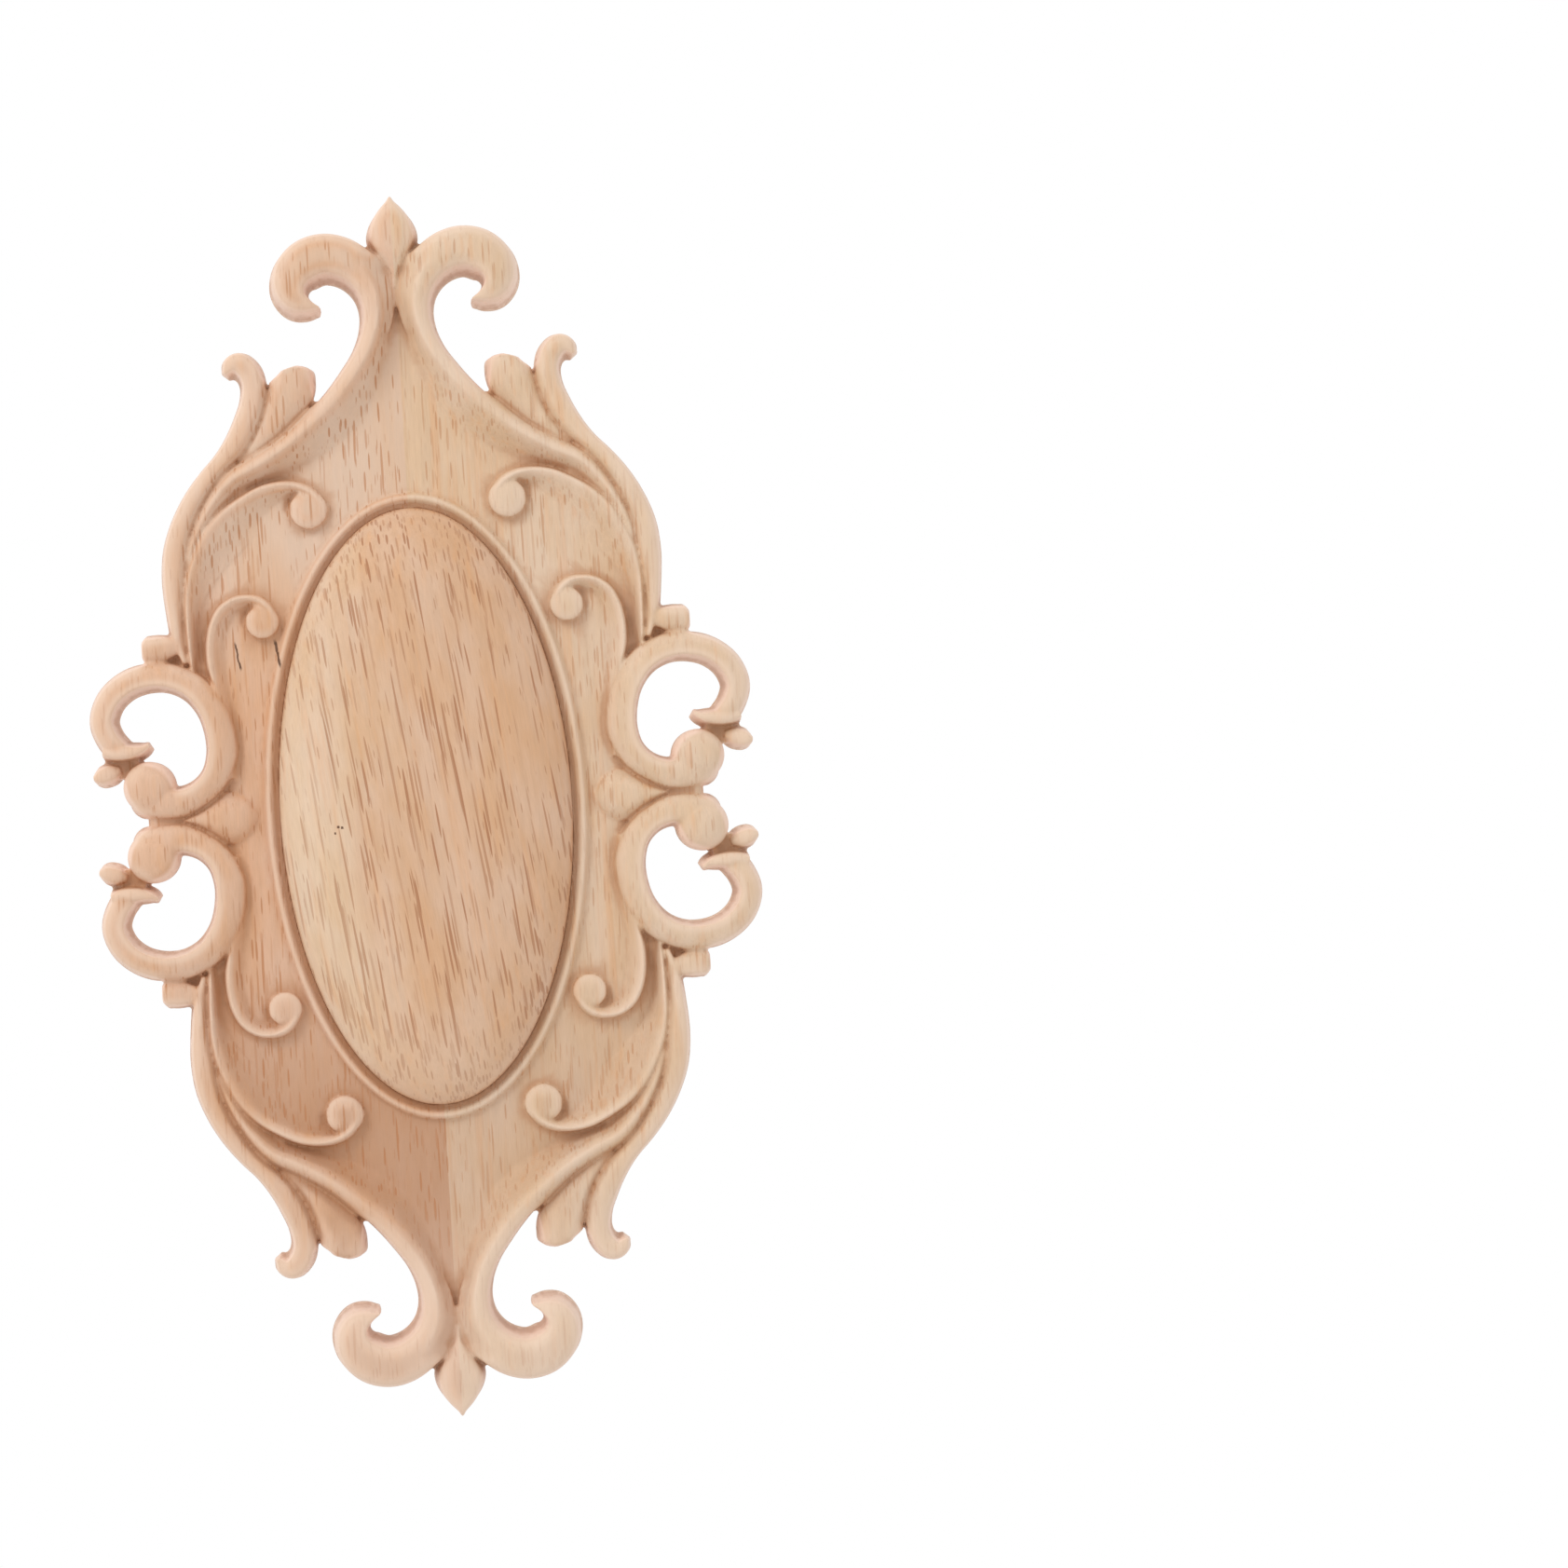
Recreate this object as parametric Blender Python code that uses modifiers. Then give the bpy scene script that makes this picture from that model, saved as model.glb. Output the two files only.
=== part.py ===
"""Carved wood applique: a domed oval boss set in a pierced frame of scrolls, leaves and curls.

The applique is drawn lying face up on the bench, x across, y along it and z out of the wood, and is
then turned upright by the empty that carries it: its flat back lies in the plane y = 0 and its face
looks along -Y. The carving repeats in its four quarters, so each motif of one quarter is made and
mirrored twice.
"""

import math

import bmesh
import bpy
import numpy as np
from mathutils import Vector

MM = 0.001

# The frame's thickness at its levels, in millimetres above the flat back.
FIELD_LEVEL = 5.0
RECESS_FLOOR = 3.2
BELOW_BACK = 1.5
BENCH_SIZE = (300.0, 400.0, 6.0)

# The oval, as half width and half length in millimetres.
GROOVE_HALF_WIDTH = 27.4
GROOVE_HALF_LENGTH = 54.9
GROOVE_WIDTH = 1.1
OVAL_SIDES = 60

# Ovals one above another, each as its inset from the groove's edge and its height.
BEAD_LEVELS = [(-2.0, 2.0), (-2.0, 5.2), (-1.3, 6.4), (-0.8, 6.6), (0.4, 5.3), (1.6, 5.2)]
RECESS_LEVELS = [(0.8, RECESS_FLOOR), (0.8, 14.0)]

BOSS_BASE = RECESS_FLOOR + 0.3
BOSS_EDGE = 6.0
BOSS_CROWN = 14.0
BOSS_LEVELS = 6
BOSS_FULLNESS = 2.3
BOSS_LAST_ANGLE = math.radians(86.0)

# The cutter leaves walls that lean out towards the back, and the carved crests are part ellipses.
WALL_LEAN = math.tan(math.radians(6.0))
CROWN_TO_HALF_WIDTH = 0.5
LEAST_TOP_SHARE = 0.45
CREST_ANGLES = (-90, -48, 0, 48, 90)

# A gouge cuts as a hollow whose walls start a little above the field.
GOUGE_START = 0.3
GOUGE_BEND = 0.3

# How closely a band follows its curve, and how much of the room inside a tight turn it may fill.
STEPS_PER_GAP = 12
FOLLOWS_WITHIN = 0.33
ROOM_IN_TURN = 0.9
NEARLY_PARALLEL = 1e-6

KNOB_SIDES = 14
FLAT_ENOUGH = math.radians(3.0)
SHARP_FROM = math.radians(35.0)
SAME_PLACE = 0.01 * MM
WOOD_COLOUR = (0.72, 0.52, 0.37, 1.0)
WOOD_ROUGHNESS = 0.62

# The edge of the flat field in one quarter, hidden under the bands that border it. It runs from the
# y axis round to the x axis.
FIELD_OUTLINE = [
    (0.0, 92.0),
    (2.8, 91.0),
    (4.0, 86.0),
    (8.6, 79.0),
    (14.8, 74.4),
    (17.0, 75.6),
    (20.0, 77.4),
    (23.2, 76.6),
    (24.4, 76.2),
    (26.4, 76.6),
    (28.6, 73.0),
    (30.6, 68.6),
    (34.0, 64.0),
    (38.6, 58.6),
    (42.2, 53.0),
    (43.8, 47.0),
    (44.2, 41.0),
    (43.6, 34.6),
    (44.6, 33.2),
    (46.4, 31.8),
    (48.0, 29.6),
    (45.6, 27.4),
    (41.0, 24.5),
    (37.6, 19.5),
    (36.8, 13.0),
    (38.2, 7.8),
    (42.0, 4.2),
    (48.0, 3.4),
    (50.4, 1.6),
    (50.6, 0.0),
]

# Each band is a run of stations: x, y, half width at the back, height of its crest. All run from the
# root of the spray to the tip, so that the outside of the applique is on their right.
OUTER_STEM = [
    (42.0, 28.2, 0.8, 6.6),
    (43.0, 32.0, 1.25, 7.2),
    (43.4, 38.0, 1.75, 7.8),
    (43.1, 43.9, 2.4, 8.2),
    (42.5, 48.9, 2.45, 8.4),
    (41.0, 53.5, 2.3, 8.4),
    (38.8, 57.6, 2.2, 8.4),
    (36.1, 61.3, 2.05, 8.3),
    (33.0, 64.6, 2.05, 8.2),
    (30.3, 67.9, 2.4, 8.2),
    (28.3, 71.5, 2.55, 8.1),
    (27.0, 75.1, 2.5, 8.0),
    (26.8, 78.4, 2.5, 8.0),
    (27.6, 80.6, 2.6, 8.0),
    (29.0, 81.7, 2.6, 8.0),
    (30.4, 81.4, 2.2, 7.8),
    (31.2, 80.5, 1.5, 7.5),
    (31.7, 79.9, 0.9, 7.3),
]
SHORT_LEAF = [
    (29.8, 64.0, 0.4, 6.3),
    (26.8, 66.6, 1.15, 7.0),
    (23.7, 70.0, 2.3, 7.5),
    (21.4, 73.5, 3.45, 7.8),
    (19.9, 76.2, 4.1, 8.0),
    (19.5, 78.0, 4.15, 7.9),
    (19.7, 79.3, 4.0, 7.7),
    (20.0, 80.3, 2.2, 7.4),
]
CREST_SCROLL = [
    (40.4, 44.4, 0.4, 6.4),
    (39.8, 46.8, 0.85, 7.4),
    (38.7, 49.7, 1.25, 7.9),
    (37.0, 53.2, 1.55, 8.1),
    (34.3, 57.1, 1.95, 8.3),
    (31.2, 60.2, 2.4, 8.5),
    (26.6, 62.4, 2.8, 8.6),
    (21.0, 65.7, 2.8, 8.8),
    (15.9, 69.7, 3.1, 9.0),
    (11.7, 73.5, 3.3, 9.2),
    (8.3, 77.8, 3.2, 9.4),
    (5.6, 82.0, 3.1, 9.5),
    (3.9, 85.9, 3.3, 9.6),
    (3.3, 89.6, 3.5, 9.8),
    (3.8, 93.3, 3.8, 10.0),
    (5.9, 97.0, 4.2, 10.2),
    (9.1, 99.4, 4.5, 10.4),
    (12.9, 100.2, 4.6, 10.4),
    (16.2, 99.1, 4.6, 10.4),
    (18.4, 96.9, 4.2, 10.3),
    (18.9, 94.3, 3.75, 10.1),
    (17.9, 92.1, 3.0, 9.8),
    (16.0, 90.9, 1.9, 9.2),
    (13.7, 90.4, 0.4, 8.4),
]
UPPER_CURL = [
    (40.3, 26.4, 0.7, 6.2),
    (40.4, 31.0, 0.9, 6.8),
    (40.3, 35.5, 1.15, 7.2),
    (39.9, 39.5, 1.6, 7.5),
    (39.0, 43.4, 2.0, 7.8),
    (37.4, 47.1, 2.3, 7.9),
    (35.2, 50.8, 2.4, 8.0),
    (32.3, 53.9, 2.3, 8.0),
    (29.2, 56.1, 2.1, 7.9),
    (25.7, 57.9, 1.9, 7.8),
    (22.2, 58.6, 1.7, 7.6),
    (18.9, 58.3, 1.6, 7.4),
    (17.2, 57.4, 1.5, 7.3),
    (16.1, 55.8, 1.35, 7.2),
]
UPPER_EYE = {"centre": (17.95, 54.65), "radius": 3.45, "crest": 7.2}
LOWER_CURL = [
    (34.6, 7.0, 0.4, 5.8),
    (34.3, 13.0, 0.8, 6.4),
    (34.8, 19.0, 1.1, 6.8),
    (35.9, 23.8, 1.4, 7.2),
    (36.6, 28.0, 1.6, 7.5),
    (36.5, 31.5, 1.6, 7.6),
    (35.8, 34.6, 1.6, 7.6),
    (34.4, 37.0, 1.6, 7.5),
    (32.2, 38.5, 1.45, 7.4),
    (29.6, 38.9, 1.4, 7.3),
    (27.2, 38.3, 1.4, 7.2),
    (25.9, 36.7, 1.25, 7.1),
]
LOWER_EYE = {"centre": (27.5, 34.95), "radius": 3.05, "crest": 7.1}
SIDE_SCROLL = [
    (50.9, 6.6, 3.3, 9.2),
    (49.9, 5.3, 4.2, 9.2),
    (48.0, 4.1, 3.55, 9.1),
    (45.4, 3.35, 2.95, 9.0),
    (41.2, 4.5, 2.75, 9.0),
    (37.9, 7.6, 2.7, 9.0),
    (36.7, 11.5, 2.65, 9.0),
    (36.8, 16.0, 2.7, 9.0),
    (38.2, 20.4, 2.7, 9.0),
    (41.1, 24.0, 2.7, 9.0),
    (44.9, 25.9, 2.7, 9.0),
    (49.2, 26.2, 2.8, 9.0),
    (53.2, 24.9, 2.8, 9.0),
    (56.3, 22.0, 2.8, 9.0),
    (57.4, 18.5, 2.75, 9.0),
    (56.4, 15.4, 2.7, 8.8),
    (54.8, 13.2, 2.7, 8.4),
]
SCROLL_COLLAR = [
    (49.1, 14.0, 0.8, 7.7),
    (50.2, 13.35, 1.4, 8.3),
    (52.3, 12.9, 1.9, 8.7),
    (55.0, 12.9, 2.1, 8.7),
    (57.6, 13.2, 1.6, 8.2),
]
SCROLL_THROAT = [
    (51.2, 10.6, 1.0, 5.4),
    (53.4, 10.2, 1.5, 5.0),
    (55.4, 9.6, 1.6, 5.0),
]
SCROLL_BALL = {"centre": (49.6, 6.3), "radius": 4.7, "crest": 9.8}
OUTER_BUD = [
    (54.6, 9.8, 1.2, 6.0),
    (55.9, 9.4, 2.0, 6.9),
    (57.3, 9.0, 2.2, 7.3),
    (58.6, 8.6, 1.9, 7.4),
    (59.5, 8.4, 1.2, 7.1),
]
SHOULDER_BUD = [
    (42.6, 31.9, 1.5, 6.8),
    (44.2, 31.9, 2.0, 7.2),
    (46.0, 31.75, 2.25, 7.5),
    (47.8, 31.55, 2.35, 7.6),
    (49.0, 31.4, 2.25, 7.4),
    (49.5, 31.3, 1.7, 7.1),
]
SIDE_HUSK = [
    (30.6, 0.0, 0.8, 5.4),
    (31.7, 0.0, 2.8, 6.2),
    (33.6, 0.0, 4.2, 7.0),
    (35.6, 0.0, 4.7, 7.4),
    (37.4, 0.0, 4.3, 7.6),
    (39.2, 0.0, 3.3, 7.6),
    (41.2, 0.0, 2.1, 7.4),
    (43.2, 0.0, 0.9, 7.2),
    (44.2, 0.0, 0.3, 6.9),
]
CREST_BUD = [
    (0.0, 93.0, 0.8, 7.5),
    (0.0, 96.0, 2.4, 8.1),
    (0.0, 98.8, 3.9, 8.5),
    (0.0, 101.2, 4.6, 8.8),
    (0.0, 103.2, 4.7, 8.9),
    (0.0, 105.0, 4.4, 8.8),
    (0.0, 106.8, 3.5, 8.6),
    (0.0, 108.4, 2.2, 8.3),
    (0.0, 109.4, 1.1, 8.0),
    (0.0, 110.0, 0.3, 7.7),
]

# Each gouge is a run of stations: x, y, half width at the field, height of its floor.
POCKET_GOUGE = [
    (38.8, 27.4, 0.5, 4.6),
    (38.9, 31.5, 0.9, 3.9),
    (38.2, 36.2, 1.5, 4.1),
    (36.7, 40.8, 2.1, 4.4),
    (34.2, 45.2, 2.4, 4.6),
    (31.4, 48.8, 1.6, 4.8),
]
SPRAY_GOUGE = [
    (38.9, 46.9, 0.4, 4.7),
    (35.8, 52.3, 0.6, 4.5),
    (30.4, 57.6, 0.9, 4.4),
    (24.4, 61.1, 1.6, 4.3),
    (18.6, 64.0, 2.2, 4.5),
    (13.0, 67.4, 1.8, 4.8),
]
CREST_GOUGE = [
    (0.0, 87.5, 0.5, 4.4),
    (0.0, 83.0, 2.0, 4.4),
    (0.0, 78.0, 3.4, 4.4),
    (0.0, 73.5, 2.6, 4.8),
]

# Each band, and where its crest leans at its root and at its tip, as a share of its half width.
BANDS = {
    "outer_stem": (OUTER_STEM, (-0.1, -0.1)),
    "short_leaf": (SHORT_LEAF, (0.1, 0.2)),
    "crest_scroll": (CREST_SCROLL, (0.1, 0.3)),
    "upper_curl": (UPPER_CURL, (0.45, 0.35)),
    "lower_curl": (LOWER_CURL, (0.4, 0.35)),
    "side_scroll": (SIDE_SCROLL, (0.2, 0.2)),
    "scroll_collar": (SCROLL_COLLAR, (0.0, 0.0)),
    "scroll_throat": (SCROLL_THROAT, (0.0, 0.0)),
    "outer_bud": (OUTER_BUD, (0.0, 0.0)),
    "shoulder_bud": (SHOULDER_BUD, (0.0, 0.0)),
    "side_husk": (SIDE_HUSK, (0.0, 0.0)),
    "crest_bud": (CREST_BUD, (0.0, 0.0)),
}
GOUGES = {
    "pocket_gouge": POCKET_GOUGE,
    "spray_gouge": SPRAY_GOUGE,
    "crest_gouge": CREST_GOUGE,
}
KNOBS = {"upper_eye": UPPER_EYE, "lower_eye": LOWER_EYE, "scroll_ball": SCROLL_BALL}


def clear_scene():
    for obj in list(bpy.data.objects):
        bpy.data.objects.remove(obj, do_unlink=True)


def new_collection(name):
    made = bpy.data.collections.new(name)
    bpy.context.scene.collection.children.link(made)
    return made


def add_object(name, data, home, carrier):
    made = bpy.data.objects.new(name, data)
    home.objects.link(made)
    made.parent = carrier
    return made


def as_tool(obj):
    """Marks an object that only shapes another one."""
    obj.hide_render = True
    obj.display_type = "WIRE"
    return obj


def smooth_run(stations):
    """A curve through the stations whose tangents follow the spacing of the stations."""
    points = np.array(stations, float)
    gaps = np.linalg.norm(np.diff(points[:, :2], axis=0), axis=1)
    along = np.concatenate([[0.0], np.cumsum(gaps)])
    slopes = np.gradient(points, along, axis=0)
    run = []
    for i, gap in enumerate(gaps):
        for t in np.linspace(0.0, 1.0, STEPS_PER_GAP, endpoint=False):
            run.append(
                (2 * t**3 - 3 * t**2 + 1) * points[i]
                + (t**3 - 2 * t**2 + t) * gap * slopes[i]
                + (3 * t**2 - 2 * t**3) * points[i + 1]
                + (t**3 - t**2) * gap * slopes[i + 1]
            )
    run.append(points[-1])
    return np.array(run)


def thinned(run):
    """The rows of a run that straight lines between them can stand in for."""
    kept = [0, len(run) - 1]
    checked = 0
    while checked < len(kept) - 1:
        first, last = kept[checked], kept[checked + 1]
        share = np.linspace(0.0, 1.0, last - first + 1)[:, None]
        straight = run[first] * (1 - share) + run[last] * share
        away = np.linalg.norm(run[first : last + 1] - straight, axis=1)
        if away.max() > FOLLOWS_WITHIN:
            kept.insert(checked + 1, first + int(away.argmax()))
        else:
            checked += 1
    return kept


def cross_section(half_width, crest, lean):
    """Points (across, up) of a band's cross-section, from its left foot over the crest to its right foot."""
    edge = crest - CROWN_TO_HALF_WIDTH * half_width
    top = max(half_width - edge * WALL_LEAN, half_width * LEAST_TOP_SHARE)
    foot = half_width + BELOW_BACK * WALL_LEAN
    points = [(-foot, -BELOW_BACK)]
    for angle in map(math.radians, CREST_ANGLES):
        reach = 1 - lean if angle > 0 else 1 + lean
        across = top * (lean + reach * math.sin(angle))
        points.append((across, edge + (crest - edge) * math.cos(angle)))
    points.append((foot, -BELOW_BACK))
    return points


def gouge_section(half_width, floor, lean):
    """Points (across, up) of a gouge's cross-section, from its left lip over its floor to its right lip."""
    lip = FIELD_LEVEL + GOUGE_START
    bend = floor + (lip - floor) * GOUGE_BEND
    middle = half_width * lean
    turn = half_width / 2
    left = [(-half_width, lip), (middle - turn, bend)]
    right = [(middle + turn, bend), (half_width, lip)]
    return left + [(middle, floor)] + right


def rooms(points, headings):
    """How far each ring may reach to its left and to its right before it would cross its neighbour."""
    limits = [[math.inf, math.inf] for _ in points]
    for i, chord in enumerate(np.diff(points, axis=0)):
        for ring, facing in ((i, i + 1), (i + 1, i)):
            right = np.array([headings[ring][1], -headings[ring][0]])
            closing = float(right @ headings[facing])
            if abs(closing) < NEARLY_PARALLEL:
                continue
            crossing = float(chord @ headings[facing]) / closing
            crossing = crossing if ring == i else -crossing
            side = 1 if crossing > 0 else 0
            limits[ring][side] = min(limits[ring][side], ROOM_IN_TURN * abs(crossing))
    return limits


def band(name, stations, leans, home, carrier, section=cross_section):
    """A carved band: a loft between cross-sections that change in width and in height."""
    run = smooth_run(stations)
    kept = thinned(run)
    headings = np.gradient(run[:, :2], axis=0)[kept]
    headings /= np.linalg.norm(headings, axis=1)[:, None]
    limits = rooms(run[kept, :2], headings)
    shape = bmesh.new()
    rings = []
    for i, row in enumerate(kept):
        x, y, half_width, crest = run[row]
        lean = leans[0] + (leans[1] - leans[0]) * i / (len(kept) - 1)
        right = Vector((headings[i][1], -headings[i][0], 0.0))
        ring = []
        for across, up in section(half_width, crest, lean):
            across = min(max(across, -limits[i][0]), limits[i][1])
            place = Vector((x, y, up)) + right * across
            ring.append(shape.verts.new(place * MM))
        rings.append(ring)
    for near, far in zip(rings, rings[1:]):
        for i in range(len(near)):
            j = (i + 1) % len(near)
            shape.faces.new((near[i], near[j], far[j], far[i]))
    shape.faces.new(rings[0])
    shape.faces.new(rings[-1])
    bmesh.ops.recalc_face_normals(shape, faces=shape.faces)
    mesh = bpy.data.meshes.new(name)
    shape.to_mesh(mesh)
    shape.free()
    return as_tool(add_object(name, mesh, home, carrier))


def knob(name, centre, radius, crest, home, carrier):
    """A round knob: half of a band's cross-section, turned about its middle."""
    half = cross_section(radius, crest, 0.0)[len(CREST_ANGLES) // 2 + 1 :]
    mesh = bpy.data.meshes.new(name)
    points = [(across * MM, 0.0, up * MM) for across, up in half]
    points.append((0.0, 0.0, -BELOW_BACK * MM))
    mesh.from_pydata(points, [(i, i + 1) for i in range(len(points) - 1)], [])
    made = add_object(name, mesh, home, carrier)
    made.location = (centre[0] * MM, centre[1] * MM, 0.0)
    screw = made.modifiers.new("Turn", "SCREW")
    screw.steps = screw.render_steps = KNOB_SIDES
    screw.use_merge_vertices = True
    screw.merge_threshold = SAME_PLACE
    return as_tool(made)


def stacked_ovals(name, levels, home, carrier):
    """A solid from ovals one above another, each given as its inset from the groove's edge and its height."""
    shape = bmesh.new()
    loops = []
    for inset, up in levels:
        made = bmesh.ops.create_circle(shape, segments=OVAL_SIDES, radius=1.0)
        size = (GROOVE_HALF_WIDTH - inset, GROOVE_HALF_LENGTH - inset, 1.0)
        bmesh.ops.scale(shape, verts=made["verts"], vec=Vector(size) * MM)
        bmesh.ops.translate(shape, verts=made["verts"], vec=(0.0, 0.0, up * MM))
        loops.append({edge for vert in made["verts"] for edge in vert.link_edges})
    for loop in (loops[0], loops[-1]):
        bmesh.ops.contextual_create(shape, geom=list(loop))
    for low, high in zip(loops, loops[1:]):
        bmesh.ops.bridge_loops(shape, edges=list(low | high))
    bmesh.ops.recalc_face_normals(shape, faces=shape.faces)
    mesh = bpy.data.meshes.new(name)
    shape.to_mesh(mesh)
    shape.free()
    return add_object(name, mesh, home, carrier)


def all_round(quarter):
    """The whole outline, from the quarter that runs from the top of the y axis to the x axis."""
    right = quarter + [(x, -y) for x, y in reversed(quarter[:-1])]
    return right + [(-x, y) for x, y in reversed(right[1:-1])]


def field(home, carrier):
    """The flat field: a 2D outline with thickness, as a mesh for the Booleans."""
    outline = bpy.data.curves.new("field_outline", "CURVE")
    outline.dimensions = "2D"
    outline.fill_mode = "BOTH"
    thickness = FIELD_LEVEL + BELOW_BACK
    outline.extrude = thickness / 2 * MM
    spline = outline.splines.new("POLY")
    corners = all_round(FIELD_OUTLINE)
    spline.points.add(len(corners) - 1)
    for point, (x, y) in zip(spline.points, corners):
        point.co = (x * MM, y * MM, 0.0, 1.0)
    spline.use_cyclic_u = True
    drawn = bpy.data.objects.new("field_outline", outline)
    home.objects.link(drawn)
    bpy.context.view_layer.update()
    graph = bpy.context.evaluated_depsgraph_get()
    mesh = bpy.data.meshes.new_from_object(drawn.evaluated_get(graph))
    bpy.data.objects.remove(drawn)
    shape = bmesh.new()
    shape.from_mesh(mesh)
    bmesh.ops.remove_doubles(shape, verts=shape.verts, dist=SAME_PLACE)
    middle = (thickness / 2 - BELOW_BACK) * MM
    bmesh.ops.translate(shape, verts=shape.verts, vec=(0.0, 0.0, middle))
    bmesh.ops.recalc_face_normals(shape, faces=shape.faces)
    shape.to_mesh(mesh)
    shape.free()
    mesh.name = "carved_frame"
    return add_object("carved_frame", mesh, home, carrier)


def bench(home, carrier):
    """The block that trims everything below the flat back."""
    bpy.ops.mesh.primitive_cube_add(size=1.0)
    made = bpy.context.object
    made.name = "bench"
    for other in list(made.users_collection):
        other.objects.unlink(made)
    home.objects.link(made)
    made.parent = carrier
    made.scale = Vector(BENCH_SIZE) * MM
    made.location = (0.0, 0.0, -BENCH_SIZE[2] / 2 * MM)
    return as_tool(made)


def combine(target, operation, tool=None, group=None):
    modifier = target.modifiers.new(operation.title(), "BOOLEAN")
    modifier.operation = operation
    # The exact solver leaves holes where this many motifs meet.
    modifier.solver = "MANIFOLD"
    if group:
        modifier.operand_type = "COLLECTION"
        modifier.collection = group
    else:
        modifier.object = tool


def repeat(motif, centre, across_x, across_y):
    """Repeats a motif as separate mirrored copies, over each axis that it doesn't lie on."""
    mirror = motif.modifiers.new("Mirror", "MIRROR")
    mirror.use_axis = (across_x, across_y, False)
    mirror.use_mirror_merge = False
    mirror.mirror_object = centre


def wood(name):
    made = bpy.data.materials.new(name)
    made.use_nodes = True
    shader = made.node_tree.nodes["Principled BSDF"]
    shader.inputs["Base Color"].default_value = WOOD_COLOUR
    shader.inputs["Roughness"].default_value = WOOD_ROUGHNESS
    shader.inputs["Metallic"].default_value = 0.0
    return made


def boss_levels():
    """The boss's side and dome, as insets from the groove's edge and heights."""
    levels = [(GROOVE_WIDTH, BOSS_BASE), (GROOVE_WIDTH, BOSS_EDGE)]
    for i in range(1, BOSS_LEVELS + 1):
        share = math.sin(BOSS_LAST_ANGLE * i / BOSS_LEVELS)
        reach = (GROOVE_HALF_WIDTH - GROOVE_WIDTH) * (1 - (1 - share**2) ** (1 / BOSS_FULLNESS))
        levels.append((GROOVE_WIDTH + reach, BOSS_EDGE + (BOSS_CROWN - BOSS_EDGE) * share))
    return levels


def main():
    clear_scene()
    applique = new_collection("carved_wood_applique")
    carving = new_collection("motifs")
    gouges = new_collection("gouges")
    tools = new_collection("tools")
    carrier = bpy.data.objects.new("upright", None)
    applique.objects.link(carrier)
    carrier.rotation_euler = (math.radians(90.0), 0.0, 0.0)

    frame = field(applique, carrier)
    for name, (stations, leans) in BANDS.items():
        motif = band(name, stations, leans, carving, carrier)
        repeat(motif, carrier, name != "crest_bud", name != "side_husk")
    for name, sizes in KNOBS.items():
        motif = knob(name, sizes["centre"], sizes["radius"], sizes["crest"], carving, carrier)
        repeat(motif, carrier, True, True)

    as_tool(stacked_ovals("bead", BEAD_LEVELS, carving, carrier))
    recess = stacked_ovals("recess", RECESS_LEVELS, tools, carrier)
    for name, stations in GOUGES.items():
        gouge = band(name, stations, (0.0, 0.0), gouges, carrier, gouge_section)
        repeat(gouge, carrier, name != "crest_gouge", True)
    combine(frame, "UNION", group=carving)
    combine(frame, "DIFFERENCE", group=gouges)
    combine(frame, "DIFFERENCE", tool=bench(tools, carrier))
    combine(frame, "DIFFERENCE", tool=as_tool(recess))

    joined = frame.modifiers.new("Dissolve", "DECIMATE")
    joined.decimate_type = "DISSOLVE"
    joined.angle_limit = FLAT_ENOUGH

    boss = stacked_ovals("oval_boss", boss_levels(), applique, carrier)
    for piece in (frame, boss):
        piece.data.materials.append(wood(piece.name + "_wood"))
        piece.data.shade_smooth()
        piece.data.set_sharp_from_angle(angle=SHARP_FROM)


main()
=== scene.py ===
import math

import bmesh
import bpy
import numpy as np
from mathutils import Matrix, Vector
from mathutils.bvhtree import BVHTree


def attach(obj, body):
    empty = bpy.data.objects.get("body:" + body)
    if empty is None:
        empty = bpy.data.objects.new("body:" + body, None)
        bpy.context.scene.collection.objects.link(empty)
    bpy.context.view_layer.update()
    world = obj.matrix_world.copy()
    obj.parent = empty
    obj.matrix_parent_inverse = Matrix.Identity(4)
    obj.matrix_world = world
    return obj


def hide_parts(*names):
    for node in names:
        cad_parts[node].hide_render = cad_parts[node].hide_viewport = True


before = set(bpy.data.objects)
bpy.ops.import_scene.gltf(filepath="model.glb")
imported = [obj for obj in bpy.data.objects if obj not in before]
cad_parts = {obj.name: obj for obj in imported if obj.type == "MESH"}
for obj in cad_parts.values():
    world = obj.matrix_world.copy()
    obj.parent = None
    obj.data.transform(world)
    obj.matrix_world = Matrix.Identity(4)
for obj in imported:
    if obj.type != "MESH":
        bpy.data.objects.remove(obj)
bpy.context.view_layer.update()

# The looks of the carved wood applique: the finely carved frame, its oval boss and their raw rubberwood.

MM = 0.001

# Levels in millimetres above the flat back, as in the solids.
FIELD_LEVEL = 5.0
BEAD_LEVEL = 6.6
RECESS_FLOOR = 3.2
BOSS_BASE = 3.5
BOSS_EDGE = 6.0
BOSS_CROWN = 14.0

# The motifs are made this much too deep, in millimetres, and then cut off level at the back.
BELOW_BACK = 1.5

# The oval groove, as half width and half length in millimetres, and how far the boss lies inside it.
GROOVE_HALF_WIDTH = 27.4
GROOVE_HALF_LENGTH = 54.9
BOSS_INSET = 1.02

# How far a wall leans outwards for each millimetre that it goes down.
WALL_LEAN = math.tan(math.radians(6.0))

# The motifs are joined on cells of this size in millimetres, and the result is thinned to about this many
# triangles.
JOINING_CELL = 0.29
FRAME_TRIANGLES = 176000

# Light: the strength of the pale surroundings and the power of the lamp in watts.
AMBIENT = 0.89
KEY_POWER = 3.6

# The bench drawing has x across, y along and z out of the wood. The applique stands with its back at y = 0.
UPRIGHT = Matrix.Rotation(math.radians(90.0), 4, "X") @ Matrix.Scale(MM, 4)

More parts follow.
